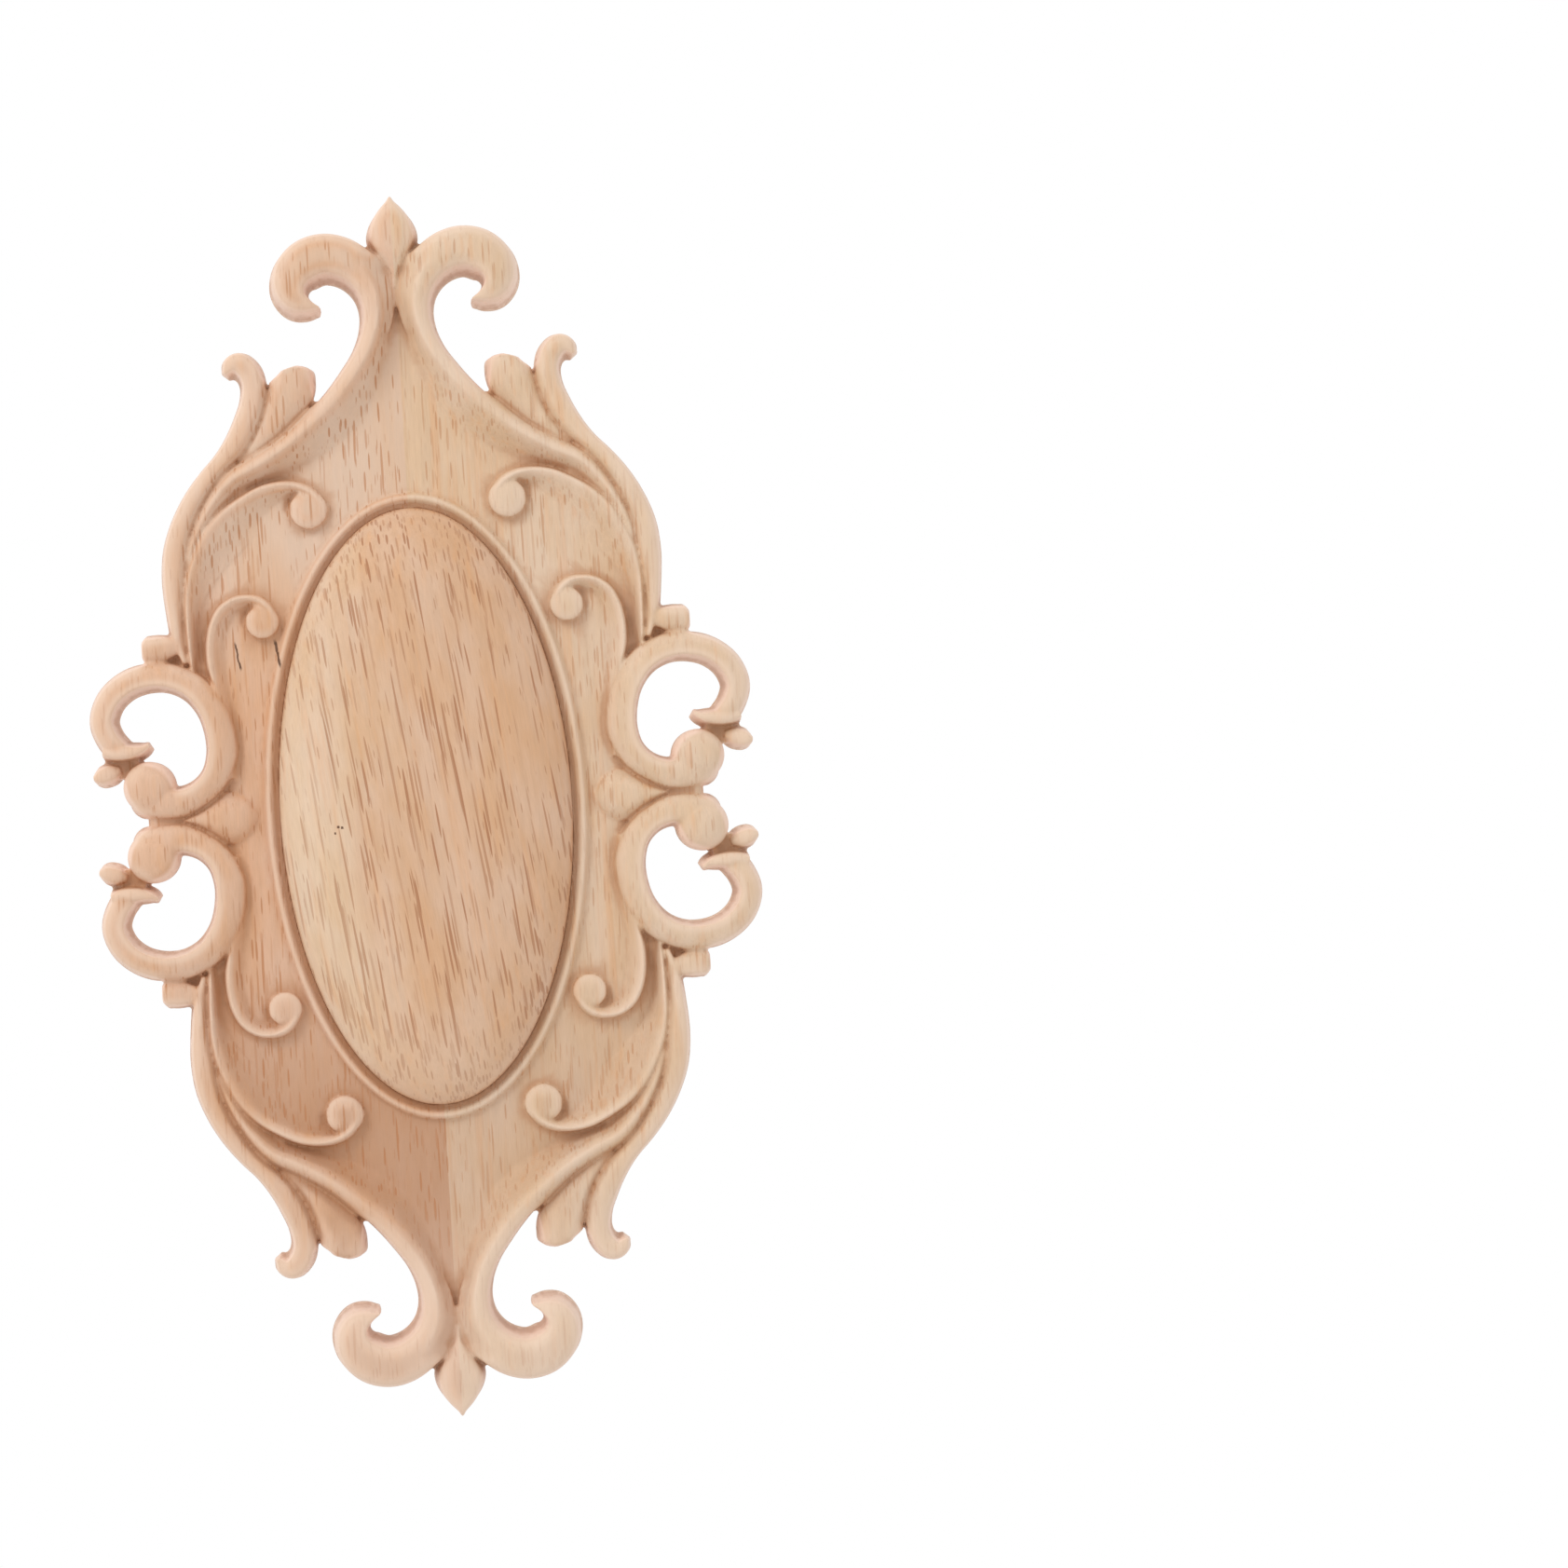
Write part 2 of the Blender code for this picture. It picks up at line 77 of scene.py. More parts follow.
# The field's outline in one quarter, from the crest round to the side: x, y.
FIELD_OUTLINE = [
    (0.0, 92.0),
    (2.8, 91.0),
    (4.0, 86.0),
    (8.6, 79.0),
    (14.8, 74.4),
    (17.0, 75.6),
    (20.0, 77.4),
    (23.2, 76.6),
    (24.4, 76.2),
    (26.4, 76.6),
    (28.6, 73.0),
    (30.6, 68.6),
    (34.0, 64.0),
    (38.6, 58.6),
    (42.2, 53.0),
    (43.8, 47.0),
    (44.2, 41.0),
    (43.6, 34.6),
    (44.6, 33.2),
    (46.4, 31.8),
    (48.0, 29.6),
    (45.6, 27.4),
    (41.0, 24.5),
    (37.6, 19.5),
    (36.8, 13.0),
    (38.2, 7.8),
    (42.0, 4.2),
    (48.0, 3.4),
    (50.4, 1.6),
    (50.6, 0.0),
]

# Bands run from the root of the spray to the tip: x, y, half width, height of the crest.
OUTER_STEM = [
    (42.0, 28.2, 0.8, 6.6),
    (43.0, 32.0, 1.25, 7.2),
    (43.4, 38.0, 1.75, 7.8),
    (43.1, 43.9, 2.4, 8.2),
    (42.5, 48.9, 2.45, 8.4),
    (41.0, 53.5, 2.3, 8.4),
    (38.8, 57.6, 2.2, 8.4),
    (36.1, 61.3, 2.05, 8.3),
    (33.0, 64.6, 2.05, 8.2),
    (30.3, 67.9, 2.4, 8.2),
    (28.3, 71.5, 2.55, 8.1),
    (27.0, 75.1, 2.5, 8.0),
    (26.8, 78.4, 2.5, 8.0),
    (27.6, 80.6, 2.6, 8.0),
    (29.0, 81.7, 2.6, 8.0),
    (30.4, 81.4, 2.2, 7.8),
    (31.2, 80.5, 1.5, 7.5),
    (31.7, 79.9, 0.9, 7.3),
]
SHORT_LEAF = [
    (29.8, 64.0, 0.4, 6.3),
    (26.8, 66.6, 1.15, 7.0),
    (23.7, 70.0, 2.3, 7.5),
    (21.4, 73.5, 3.45, 7.8),
    (19.9, 76.2, 4.1, 8.0),
    (19.5, 78.0, 4.15, 7.9),
    (19.7, 79.3, 4.0, 7.7),
    (20.0, 80.3, 2.2, 7.4),
]
CREST_SCROLL = [
    (40.4, 44.4, 0.4, 6.4),
    (39.8, 46.8, 0.85, 7.4),
    (38.7, 49.7, 1.25, 7.9),
    (37.0, 53.2, 1.55, 8.1),
    (34.3, 57.1, 1.95, 8.3),
    (31.2, 60.2, 2.4, 8.5),
    (26.6, 62.4, 2.8, 8.6),
    (21.0, 65.7, 2.8, 8.8),
    (15.9, 69.7, 3.1, 9.0),
    (11.7, 73.5, 3.3, 9.2),
    (8.3, 77.8, 3.2, 9.4),
    (5.6, 82.0, 3.1, 9.5),
    (3.9, 85.9, 3.3, 9.6),
    (3.3, 89.6, 3.5, 9.8),
    (3.8, 93.3, 3.8, 10.0),
    (5.9, 97.0, 4.2, 10.2),
    (9.1, 99.4, 4.5, 10.4),
    (12.9, 100.2, 4.6, 10.4),
    (16.2, 99.1, 4.6, 10.4),
    (18.4, 96.9, 4.2, 10.3),
    (18.9, 94.3, 3.75, 10.1),
    (17.9, 92.1, 3.0, 9.8),
    (16.0, 90.9, 1.9, 9.2),
    (13.7, 90.4, 0.4, 8.4),
]
UPPER_CURL = [
    (40.3, 26.4, 0.7, 6.2),
    (40.4, 31.0, 0.9, 6.8),
    (40.3, 35.5, 1.15, 7.2),
    (39.9, 39.5, 1.6, 7.5),
    (39.0, 43.4, 2.0, 7.8),
    (37.4, 47.1, 2.3, 7.9),
    (35.2, 50.8, 2.4, 8.0),
    (32.3, 53.9, 2.3, 8.0),
    (29.2, 56.1, 2.1, 7.9),
    (25.7, 57.9, 1.9, 7.8),
    (22.2, 58.6, 1.7, 7.6),
    (20.1, 58.5, 1.6, 7.5),
    (18.2, 57.9, 1.45, 7.4),
    (16.6, 56.7, 1.25, 7.3),
    (15.8, 55.2, 1.0, 7.1),
    (15.6, 53.8, 0.6, 6.7),
]
LOWER_CURL = [
    (34.6, 7.0, 0.4, 5.8),
    (34.3, 13.0, 0.8, 6.4),
    (34.8, 19.0, 1.1, 6.8),
    (35.9, 23.8, 1.4, 7.2),
    (36.6, 28.0, 1.6, 7.5),
    (36.5, 31.5, 1.6, 7.6),
    (35.8, 34.6, 1.6, 7.6),
    (34.4, 37.0, 1.6, 7.5),
    (32.2, 38.5, 1.45, 7.4),
    (29.7, 38.85, 1.4, 7.3),
    (28.0, 38.5, 1.35, 7.25),
    (26.4, 37.4, 1.1, 7.2),
    (25.6, 35.9, 0.9, 7.0),
    (25.4, 34.6, 0.5, 6.6),
]
SIDE_SCROLL = [
    (50.6, 6.4, 3.4, 9.2),
    (49.7, 5.1, 4.5, 9.2),
    (48.0, 3.75, 4.05, 9.1),
    (45.4, 3.1, 3.45, 9.0),
    (41.2, 4.5, 2.75, 9.0),
    (37.9, 7.6, 2.7, 9.0),
    (36.7, 11.5, 2.65, 9.0),
    (36.8, 16.0, 2.7, 9.0),
    (38.2, 20.4, 2.7, 9.0),
    (41.1, 24.0, 2.7, 9.0),
    (44.9, 25.9, 2.7, 9.0),
    (49.2, 26.2, 2.8, 9.0),
    (53.2, 24.9, 2.8, 9.0),
    (56.3, 22.0, 2.8, 9.0),
    (57.4, 18.5, 2.75, 9.0),
    (56.4, 15.4, 2.7, 8.8),
    (54.8, 13.2, 2.7, 8.4),
]
SCROLL_COLLAR = [
    (49.1, 14.0, 0.8, 7.7),
    (50.2, 13.35, 1.4, 8.3),
    (52.3, 12.9, 1.9, 8.7),
    (55.0, 12.9, 2.1, 8.7),
    (57.6, 13.2, 1.6, 8.2),
]
SCROLL_THROAT = [
    (51.2, 10.6, 1.0, 5.4),
    (53.4, 10.2, 1.5, 5.0),
    (55.4, 9.6, 1.6, 5.0),
]
OUTER_BUD = [
    (54.6, 9.8, 1.2, 6.0),
    (55.9, 9.4, 2.0, 6.9),
    (57.3, 9.0, 2.2, 7.3),
    (58.6, 8.6, 1.9, 7.4),
    (59.5, 8.4, 1.2, 7.1),
]
SHOULDER_BUD = [
    (42.6, 31.8, 1.6, 6.8),
    (44.2, 31.7, 2.1, 7.2),
    (46.0, 31.45, 2.55, 7.5),
    (47.8, 31.35, 2.6, 7.6),
    (49.0, 31.3, 2.4, 7.4),
    (49.5, 31.3, 1.8, 7.1),
]
SIDE_HUSK = [
    (30.6, 0.0, 0.8, 5.4),
    (31.7, 0.0, 2.8, 6.2),
    (33.6, 0.0, 4.2, 7.0),
    (35.6, 0.0, 4.7, 7.4),
    (37.4, 0.0, 4.1, 7.6),
    (39.2, 0.0, 2.9, 7.6),
    (41.2, 0.0, 1.6, 7.4),
    (43.0, 0.0, 0.6, 7.1),
    (43.8, 0.0, 0.25, 6.8),
]
SCROLL_LINK = [
    (43.5, 0.0, 0.6, 6.0),
    (45.5, 0.0, 0.8, 6.6),
    (47.5, 0.0, 0.8, 6.8),
    (49.0, 0.0, 0.6, 6.6),
    (49.8, 0.0, 0.4, 6.2),
]
CREST_BUD = [
    (0.0, 93.6, 0.4, 6.8),
    (0.0, 95.8, 1.0, 7.3),
    (0.0, 98.0, 2.3, 8.0),
    (0.0, 99.9, 3.6, 8.6),
    (0.0, 101.6, 4.4, 8.8),
    (0.0, 103.3, 4.7, 8.9),
    (0.0, 105.0, 4.4, 8.8),
    (0.0, 106.8, 3.5, 8.6),
    (0.0, 108.4, 2.2, 8.3),
    (0.0, 109.4, 1.1, 8.0),
    (0.0, 110.0, 0.3, 7.7),
]

# Low ground that carries the spray, so that its grooves are shallow: x, y, half width, height.
SPRAY_GROUND = [
    (41.4, 30.0, 1.4, 5.0),
    (41.8, 36.0, 2.0, 5.5),
    (41.2, 44.0, 2.6, 5.8),
    (39.0, 51.0, 3.0, 5.8),
    (35.6, 56.6, 3.2, 5.8),
    (31.0, 62.0, 3.4, 5.7),
    (26.4, 67.0, 3.6, 5.6),
    (23.4, 72.0, 3.4, 5.4),
]

# Knobs: centre, radius, height of the crown, height of the rim.
KNOBS = [
    ((17.95, 54.65), 3.45, 7.35, 6.2),
    ((27.5, 34.95), 3.05, 7.25, 6.2),
    ((49.6, 6.3), 4.7, 9.8, 6.0),
]

# Two hairline cracks in the left stave and three specks on the boss: x, y, lean in degrees, length, width.
CRACKS = [(-32.3, 29.0, 8.5, 5.4, 0.34), (-25.1, 29.05, 8.9, 5.4, 0.4)]
SPECKS = [(-15.9, -2.8, 0, 0.5, 0.4), (-15.2, -2.95, 0, 0.5, 0.45), (-16.5, -3.9, 0, 0.45, 0.3)]

# Hollows in the field: x, y, half width, depth.
HOLLOWS = [
    [
        (38.9, 28.6, 0.9, 0.7),
        (38.8, 31.5, 1.1, 0.9),
        (38.0, 36.5, 1.7, 0.8),
        (36.4, 41.0, 2.2, 0.6),
        (33.4, 46.0, 2.8, 0.4),
        (29.5, 50.5, 3.0, 0.25),
    ],
    [
        (33.6, 54.9, 1.0, 0.4),
        (28.6, 58.8, 1.4, 0.9),
        (24.1, 61.5, 1.9, 1.3),
        (18.4, 64.4, 2.6, 0.8),
        (11.5, 69.5, 3.0, 0.3),
    ],
    [(0.0, 90.0, 1.2, 0.6), (0.0, 84.0, 2.0, 0.6), (0.0, 78.0, 4.0, 0.4), (0.0, 71.0, 5.5, 0.2)],
    [(43.6, 29.2, 0.7, 0.3), (44.6, 29.3, 0.6, 0.2)],
    [(40.1, 27.3, 0.6, 0.4), (38.6, 26.1, 0.6, 0.3)],
    [
        (33.4, 16.0, 1.0, 0.2),
        (34.2, 8.0, 1.4, 0.3),
        (37.4, 4.4, 1.2, 0.4),
        (42.0, 1.0, 1.0, 0.3),
        (47.0, 0.2, 1.0, 0.3),
    ],
    [(20.2, 57.2, 0.7, 0.6), (21.4, 56.4, 0.6, 0.7), (22.0, 55.0, 0.5, 0.5)],
    [(29.6, 37.4, 0.6, 0.5), (30.6, 36.4, 0.6, 0.6), (31.1, 35.0, 0.5, 0.4)],
]


ROUNDNESS = 2.2


# The forms of a flank give 1 at the crest, where t is 0, and 0 at the foot, where t is 1.
# A level one stays at 1.
def round_over(t):
    return (1 - t**ROUNDNESS) ** (1 / ROUNDNESS)


def fade(t):
    return 1 - t * t * (3 - 2 * t)


def soft_slope(t):
    return 0.5 * (1 - t) ** 1.6 + 0.5 * fade(t)


def steep(t):
    return 1 - t**2.6


def level(t):
    return 1.0


# A flank is its form, how far it reaches, the height of its foot and where it stands free above a wall.
# All but the form are given at station numbers along the band. Reach None is the band's own edge. Left and
# right are as seen when looking along the band. Free is 1 where nothing joins the band on that side.
FREE = [(0, 1.0)]
JOINED = [(0, 0.0)]

# A flank with nothing beside it, rounded over from its crest to the edge of the wall.
ROUNDED = (round_over, None, [(0, 5.0)], FREE)

# Each band is its stations, how far its crest lies to the right as a share of its half width, given at
# station numbers, its left flank and its right flank.
BANDS = [
    (
        OUTER_STEM,
        [(0, -0.1), (11, -0.15), (17, 0.1)],
        (steep, None, [(0, 5.0), (3, 6.2), (8, 6.5), (11, 6.1), (12, 5.6)], [(11.5, 0.0), (12.5, 1.0)]),
        ROUNDED,
    ),
    (
        SHORT_LEAF,
        [(0, 0.0), (3, 0.35), (7, 0.2)],
        (steep, None, [(0, 6.2), (4, 6.0), (5, 5.6)], [(4.2, 0.0), (5.0, 1.0)]),
        (steep, None, [(0, 6.0), (5, 5.7)], [(5.2, 0.0), (6.0, 1.0)]),
    ),
    (
        CREST_SCROLL,
        [(0, 0.2), (7, 0.15), (11, 0.0), (15, 0.0), (18, 0.15), (21, 0.5), (23, 0.6)],
        (
            soft_slope,
            [
                (0, 1.5),
                (3, 2.6),
                (5, 3.3),
                (6.4, 3.6),
                (8, 5.8),
                (9, 6.2),
                (11, 3.4),
                (12, 2.3),
                (13, 2.9),
                (13.6, 3.6),
                (15, 4.2),
            ],
            [
                (0, 6.0),
                (4, 5.4),
                (6, 4.2),
                (7, 4.2),
                (8, 4.7),
                (11, 4.7),
                (12, 5.2),
                (13, 5.8),
                (13.6, 6.4),
                (14.4, 6.6),
                (15, 7.2),
            ],
            [(14.5, 0.0), (15.5, 1.0)],
        ),
        (steep, None, [(0, 6.2), (6, 6.4), (8, 6.0)], [(8.0, 0.0), (8.8, 1.0)]),
    ),
    (
        UPPER_CURL,
        [(0, 0.3), (3, 0.5), (9, 0.55), (11, 0.3), (13, 0.0)],
        (
            soft_slope,
            [
                (0, 0.9),
                (2, 1.6),
                (3, 2.6),
                (4, 4.2),
                (6, 6.6),
                (7, 6.6),
                (8, 5.6),
                (9, 4.4),
                (10, 2.8),
                (11, 1.7),
                (13, 1.0),
                (15, 0.6),
            ],
            [
                (0, 4.6),
                (2, 4.4),
                (4, 4.7),
                (6, 4.8),
                (9, 4.8),
                (10, 4.6),
                (11, 5.0),
                (12, 6.2),
                (13, 6.7),
                (15, 6.6),
            ],
            JOINED,
        ),
        (
            steep,
            None,
            [(0, 5.4), (3, 6.2), (6, 6.3), (7, 5.7), (8, 5.0), (9, 4.6), (11, 4.6), (12, 5.2), (15, 5.6)],
            JOINED,
        ),
    ),
    (
        LOWER_CURL,
        [(0, 0.2), (2, 0.4), (8, 0.5), (10, 0.2), (11, 0.0)],
        (
            soft_slope,
            [(0, 1.0), (2, 2.2), (4, 3.2), (6, 3.4), (8, 2.8), (9, 1.9), (10, 1.4), (11, 1.0), (13, 0.6)],
            [(0, 4.7), (8, 4.6), (9, 5.0), (10, 6.1), (11, 6.6), (13, 6.5)],
            JOINED,
        ),
        (
            steep,
            None,
            [(0, 4.6), (3, 4.6), (4, 4.5), (6, 4.5), (7, 4.8), (9, 5.0), (11, 5.3), (13, 5.6)],
            JOINED,
        ),
    ),
    (
        SIDE_SCROLL,
        [(0, 0.0), (3, 0.2), (5, 0.45), (13, 0.45), (15, 0.2), (16, 0.0)],
        (
            round_over,
            [(0, 3.6), (2, 3.6), (3, 3.3), (4, 3.4), (6, 4.6), (8, 4.4), (9.5, 3.9), (11, 3.9), (16, 3.9)],
            [(0, 6.8), (3, 6.8), (4, 6.0), (5, 5.2), (7, 4.8), (9, 5.2), (11, 5.6)],
            [(1.6, 1.0), (2.4, 0.0), (10.6, 0.0), (11.4, 1.0)],
        ),
        ROUNDED,
    ),
    (SCROLL_COLLAR, [(0, 0.0)], ROUNDED, ROUNDED),
    (SCROLL_THROAT, [(0, 0.0)], (level, None, [(0, 5.0)], JOINED), (level, None, [(0, 5.0)], JOINED)),
    (OUTER_BUD, [(0, 0.0)], ROUNDED, ROUNDED),
    (SHOULDER_BUD, [(0, 0.0)], ROUNDED, (round_over, None, [(0, 5.8)], JOINED)),
    (SIDE_HUSK, [(0, 0.0)], (steep, None, [(0, 5.2)], JOINED), (steep, None, [(0, 5.2)], JOINED)),
    (SCROLL_LINK, [(0, 0.0)], (steep, None, [(0, 6.4)], JOINED), (steep, None, [(0, 6.4)], JOINED)),
    (CREST_BUD, [(0, 0.0)], ROUNDED, ROUNDED),
    (SPRAY_GROUND, [(0, 0.0)], (level, None, [(0, 5.0)], JOINED), (level, None, [(0, 5.0)], JOINED)),
]


def smooth_run(stations, steps):
    """A curve through the stations whose tangents follow the spacing of the stations."""
    points = np.array(stations, float)
    gaps = np.linalg.norm(np.diff(points[:, :2], axis=0), axis=1)
    along = np.concatenate([[0.0], np.cumsum(gaps)])
    slopes = np.gradient(points, along, axis=0)
    run = []
    for i, gap in enumerate(gaps):
        for t in np.linspace(0.0, 1.0, steps, endpoint=False):
            run.append(
                (2 * t**3 - 3 * t**2 + 1) * points[i]
                + (t**3 - 2 * t**2 + t) * gap * slopes[i]
                + (3 * t**2 - 2 * t**3) * points[i + 1]
                + (t**3 - t**2) * gap * slopes[i + 1]
            )
    run.append(points[-1])
    return np.array(run)


def place_in_grid(vert, rows, columns):
    """Row and column of a point in a grid that still has its first size, from -1 to 1."""
    return round((vert.co.y + 1) / 2 * (rows - 1)), round((vert.co.x + 1) / 2 * (columns - 1))


def sheet(shape, places):
    """A closed slab: a grid with each of its points placed, drawn down below the back."""
    rows, columns = places.shape[:2]
    made = bmesh.ops.create_grid(shape, x_segments=columns - 1, y_segments=rows - 1, size=1.0)
    for vert in made["verts"]:
        vert.co = places[place_in_grid(vert, rows, columns)]
    faces = list({face for vert in made["verts"] for face in vert.link_faces})
    drawn = bmesh.ops.extrude_face_region(shape, geom=faces, use_keep_orig=True)
    under = [item for item in drawn["geom"] if isinstance(item, bmesh.types.BMVert)]
    for vert in under:
        vert.co.z = -BELOW_BACK
    return made["verts"] + under


def copies(shape, verts, across_x, across_y):
    """Mirrored copies of a motif on each side of the axes that it doesn't lie on."""
    sides = []
    if across_x:
        sides.append((-1, 1, 1))
    if across_y:
        sides.append((1, -1, 1))
    if across_x and across_y:
        sides.append((-1, -1, 1))
    geom = list({face for vert in verts for face in vert.link_faces})
    for side in sides:
        twin = bmesh.ops.duplicate(shape, geom=geom)["geom"]
        twin_verts = [item for item in twin if isinstance(item, bmesh.types.BMVert)]
        bmesh.ops.scale(shape, vec=side, verts=twin_verts)


# Steps from a crest to a foot, and from one station of a band to the next.
FLANK_STEPS = 12
STEPS_PER_GAP = 8

# A flank that stands free turns into a wall this share of its width below the crest, and its rounded top
# keeps at least this share of its width.
SHOULDER_DROP = 0.55
LEAST_TOP = 0.45


def at(station, values):
    """The value at a station number, between the ones given."""
    return float(np.interp(station, *zip(*values)))


def flank(width, crest, station, form, reaches, feet, free):
    """Points (out, up) of one flank, from just beside the crest to its foot and down to the floor."""
    share = np.linspace(0.0, 1.0, FLANK_STEPS + 1)[1:]
    foot = min(at(station, feet), crest)
    reach = width if reaches is None else at(station, reaches)
    joined = [(reach * t, foot + (crest - foot) * form(t)) for t in share] + [(reach, -BELOW_BACK)]
    shoulder = crest - SHOULDER_DROP * width
    top = max(width - shoulder * WALL_LEAN, width * LEAST_TOP)
    standing = [(top * t, shoulder + (crest - shoulder) * round_over(t)) for t in share]
    standing.append((width + BELOW_BACK * WALL_LEAN, -BELOW_BACK))
    return np.array(joined) * (1 - at(station, free)) + np.array(standing) * at(station, free)


def carve_band(shape, stations, leans, left, right):
    """One band of the carving and its mirrored copies, with a flank on each side of its crest."""
    run = smooth_run(stations, STEPS_PER_GAP)
    headings = np.gradient(run[:, :2], axis=0)
    headings /= np.linalg.norm(headings, axis=1)[:, None]
    rows = []
    for i, (x, y, half, crest) in enumerate(run):
        station = i / STEPS_PER_GAP
        lean = at(station, leans)
        aside = np.array([headings[i][1], -headings[i][0]])
        middle = np.array([x, y]) + aside * half * lean
        left_flank = flank(half * (1 + lean), crest, station, *left)
        right_flank = flank(half * (1 - lean), crest, station, *right)
        row = [(-out, up) for out, up in reversed(left_flank)] + [(0.0, crest)] + list(right_flank)
        rows.append([(*(middle + aside * out), up) for out, up in row])
    across_x = any(x > 0 for x, _, _, _ in stations)
    across_y = any(y > 0 for _, y, _, _ in stations)
    copies(shape, sheet(shape, np.array(rows)), across_x, across_y)


# Knobs: steps round them, their rings as shares of the radius, and how flat their tops are.
KNOB_SIDES = 48
KNOB_RINGS = [1.0, 1.0, 0.985, 0.95, 0.88, 0.78, 0.65, 0.5, 0.35, 0.18, 0.0]
KNOB_FLATNESS = 2.4


def carve_knob(shape, centre, radius, crown, rim):
    """A round knob with a domed top. Its first ring is its foot and the second its rim."""
    rows = []
    for angle in np.linspace(0.0, 2 * math.pi, KNOB_SIDES + 1):
        row = []
        for i, reach in enumerate(KNOB_RINGS):
            dome = (1 - reach**KNOB_FLATNESS) ** (1 / ROUNDNESS)
            up = -BELOW_BACK if i == 0 else rim + (crown - rim) * dome
            x = centre[0] + radius * reach * math.cos(angle)
            y = centre[1] + radius * reach * math.sin(angle)
            row.append((x, y, up))
        rows.append(row)
    copies(shape, sheet(shape, np.array(rows)), True, True)


# The bead round the oval: steps round it, then its section as distance out from the groove's line and height.
BEAD_SIDES = 360
BEAD_SECTION = [
    (-1.0, -BELOW_BACK),
    (-1.04, 5.5),
    (-0.55, 5.55),
    (-0.2, 5.75),
    (0.1, 6.1),
    (0.4, 6.4),
    (0.8, BEAD_LEVEL),
    (1.2, 6.45),
    (1.55, 6.0),
    (1.9, 5.4),
    (2.1, 4.7),
    (2.1, -BELOW_BACK),
]


def carve_bead(shape):
    rows = []
    for angle in np.linspace(0.0, 2 * math.pi, BEAD_SIDES + 1):
        row = []
        for out, up in BEAD_SECTION:
            x = (GROOVE_HALF_WIDTH + out) * math.cos(angle)
            y = (GROOVE_HALF_LENGTH + out) * math.sin(angle)
            row.append((x, y, up))
        rows.append(row)
    sheet(shape, np.array(rows))


def inside_outline(x, y, outline):
    """Whether points lie inside the outline that the quarter repeats round both axes."""
    x, y = np.abs(x), np.abs(y)
    corners = [(0.0, 0.0)] + outline
    inside = np.zeros(x.shape, bool)
    for (x0, y0), (x1, y1) in zip(corners, corners[1:] + corners[:1]):
        if y0 == y1:
            continue
        crosses = (y0 > y) != (y1 > y)
        inside ^= crosses & (x < x0 + (y - y0) / (y1 - y0) * (x1 - x0))
    return inside


# The field lies a little low and rises beside the bead, over a share of the oval's size.
FIELD_SINK = 0.1
FIELD_RISE = 0.35
FIELD_RISE_REACH = 0.12

# Steps from one station of a hollow to the next, and how fast its sides come up.
HOLLOW_STEPS = 6
HOLLOW_SIDES = 0.8


def field_heights(x, y):
    """The field's height: highest along the bead, sunk towards the carving and into the hollows."""
    x, y = np.abs(x), np.abs(y)
    outside = np.hypot(x / GROOVE_HALF_WIDTH, y / GROOVE_HALF_LENGTH) - 1
    height = FIELD_LEVEL + FIELD_RISE * np.exp(-np.clip(outside, 0, None) / FIELD_RISE_REACH) - FIELD_SINK
    for hollow in HOLLOWS:
        run = smooth_run(hollow, HOLLOW_STEPS)
        deepest = np.zeros(x.shape)
        for px, py, half, depth in run:
            away = ((x - px) ** 2 + (y - py) ** 2) / half**2
            deepest = np.maximum(deepest, depth * np.exp(-away * HOLLOW_SIDES))
        height -= deepest
    return np.where(outside < 0, RECESS_FLOOR, height)


def carve_field(shape):
    """The ground of the whole carving: a fine grid trimmed to the outline and drawn down below the back."""
    half_x, half_y, cell = 52.0, 94.0, 0.6
    columns, rows = round(2 * half_x / cell) + 1, round(2 * half_y / cell) + 1
    x, y = np.meshgrid(np.linspace(-half_x, half_x, columns), np.linspace(-half_y, half_y, rows))
    up = field_heights(x, y)
    made = bmesh.ops.create_grid(shape, x_segments=columns - 1, y_segments=rows - 1, size=1.0)
    kept = inside_outline(x, y, FIELD_OUTLINE)
    outside = []
    for vert in made["verts"]:
        row, column = place_in_grid(vert, rows, columns)
        vert.co = (x[row, column], y[row, column], up[row, column])
        if not kept[row, column]:
            outside.append(vert)
    bmesh.ops.delete(shape, geom=outside, context="VERTS")
    faces = list({face for vert in made["verts"] if vert.is_valid for face in vert.link_faces})
    drawn = bmesh.ops.extrude_face_region(shape, geom=faces, use_keep_orig=True)
    for item in drawn["geom"]:
        if isinstance(item, bmesh.types.BMVert):
            item.co.z = -BELOW_BACK


def evaluated(mesh, name, kind, **settings):
    """The mesh with one modifier applied."""
    drawn = bpy.data.objects.new(name, mesh)
    bpy.context.scene.collection.objects.link(drawn)
    modifier = drawn.modifiers.new(name, kind)
    for key, value in settings.items():
        setattr(modifier, key, value)
    bpy.context.view_layer.update()
    result = bpy.data.meshes.new_from_object(drawn.evaluated_get(bpy.context.evaluated_depsgraph_get()))
    bpy.data.objects.remove(drawn)
    return result


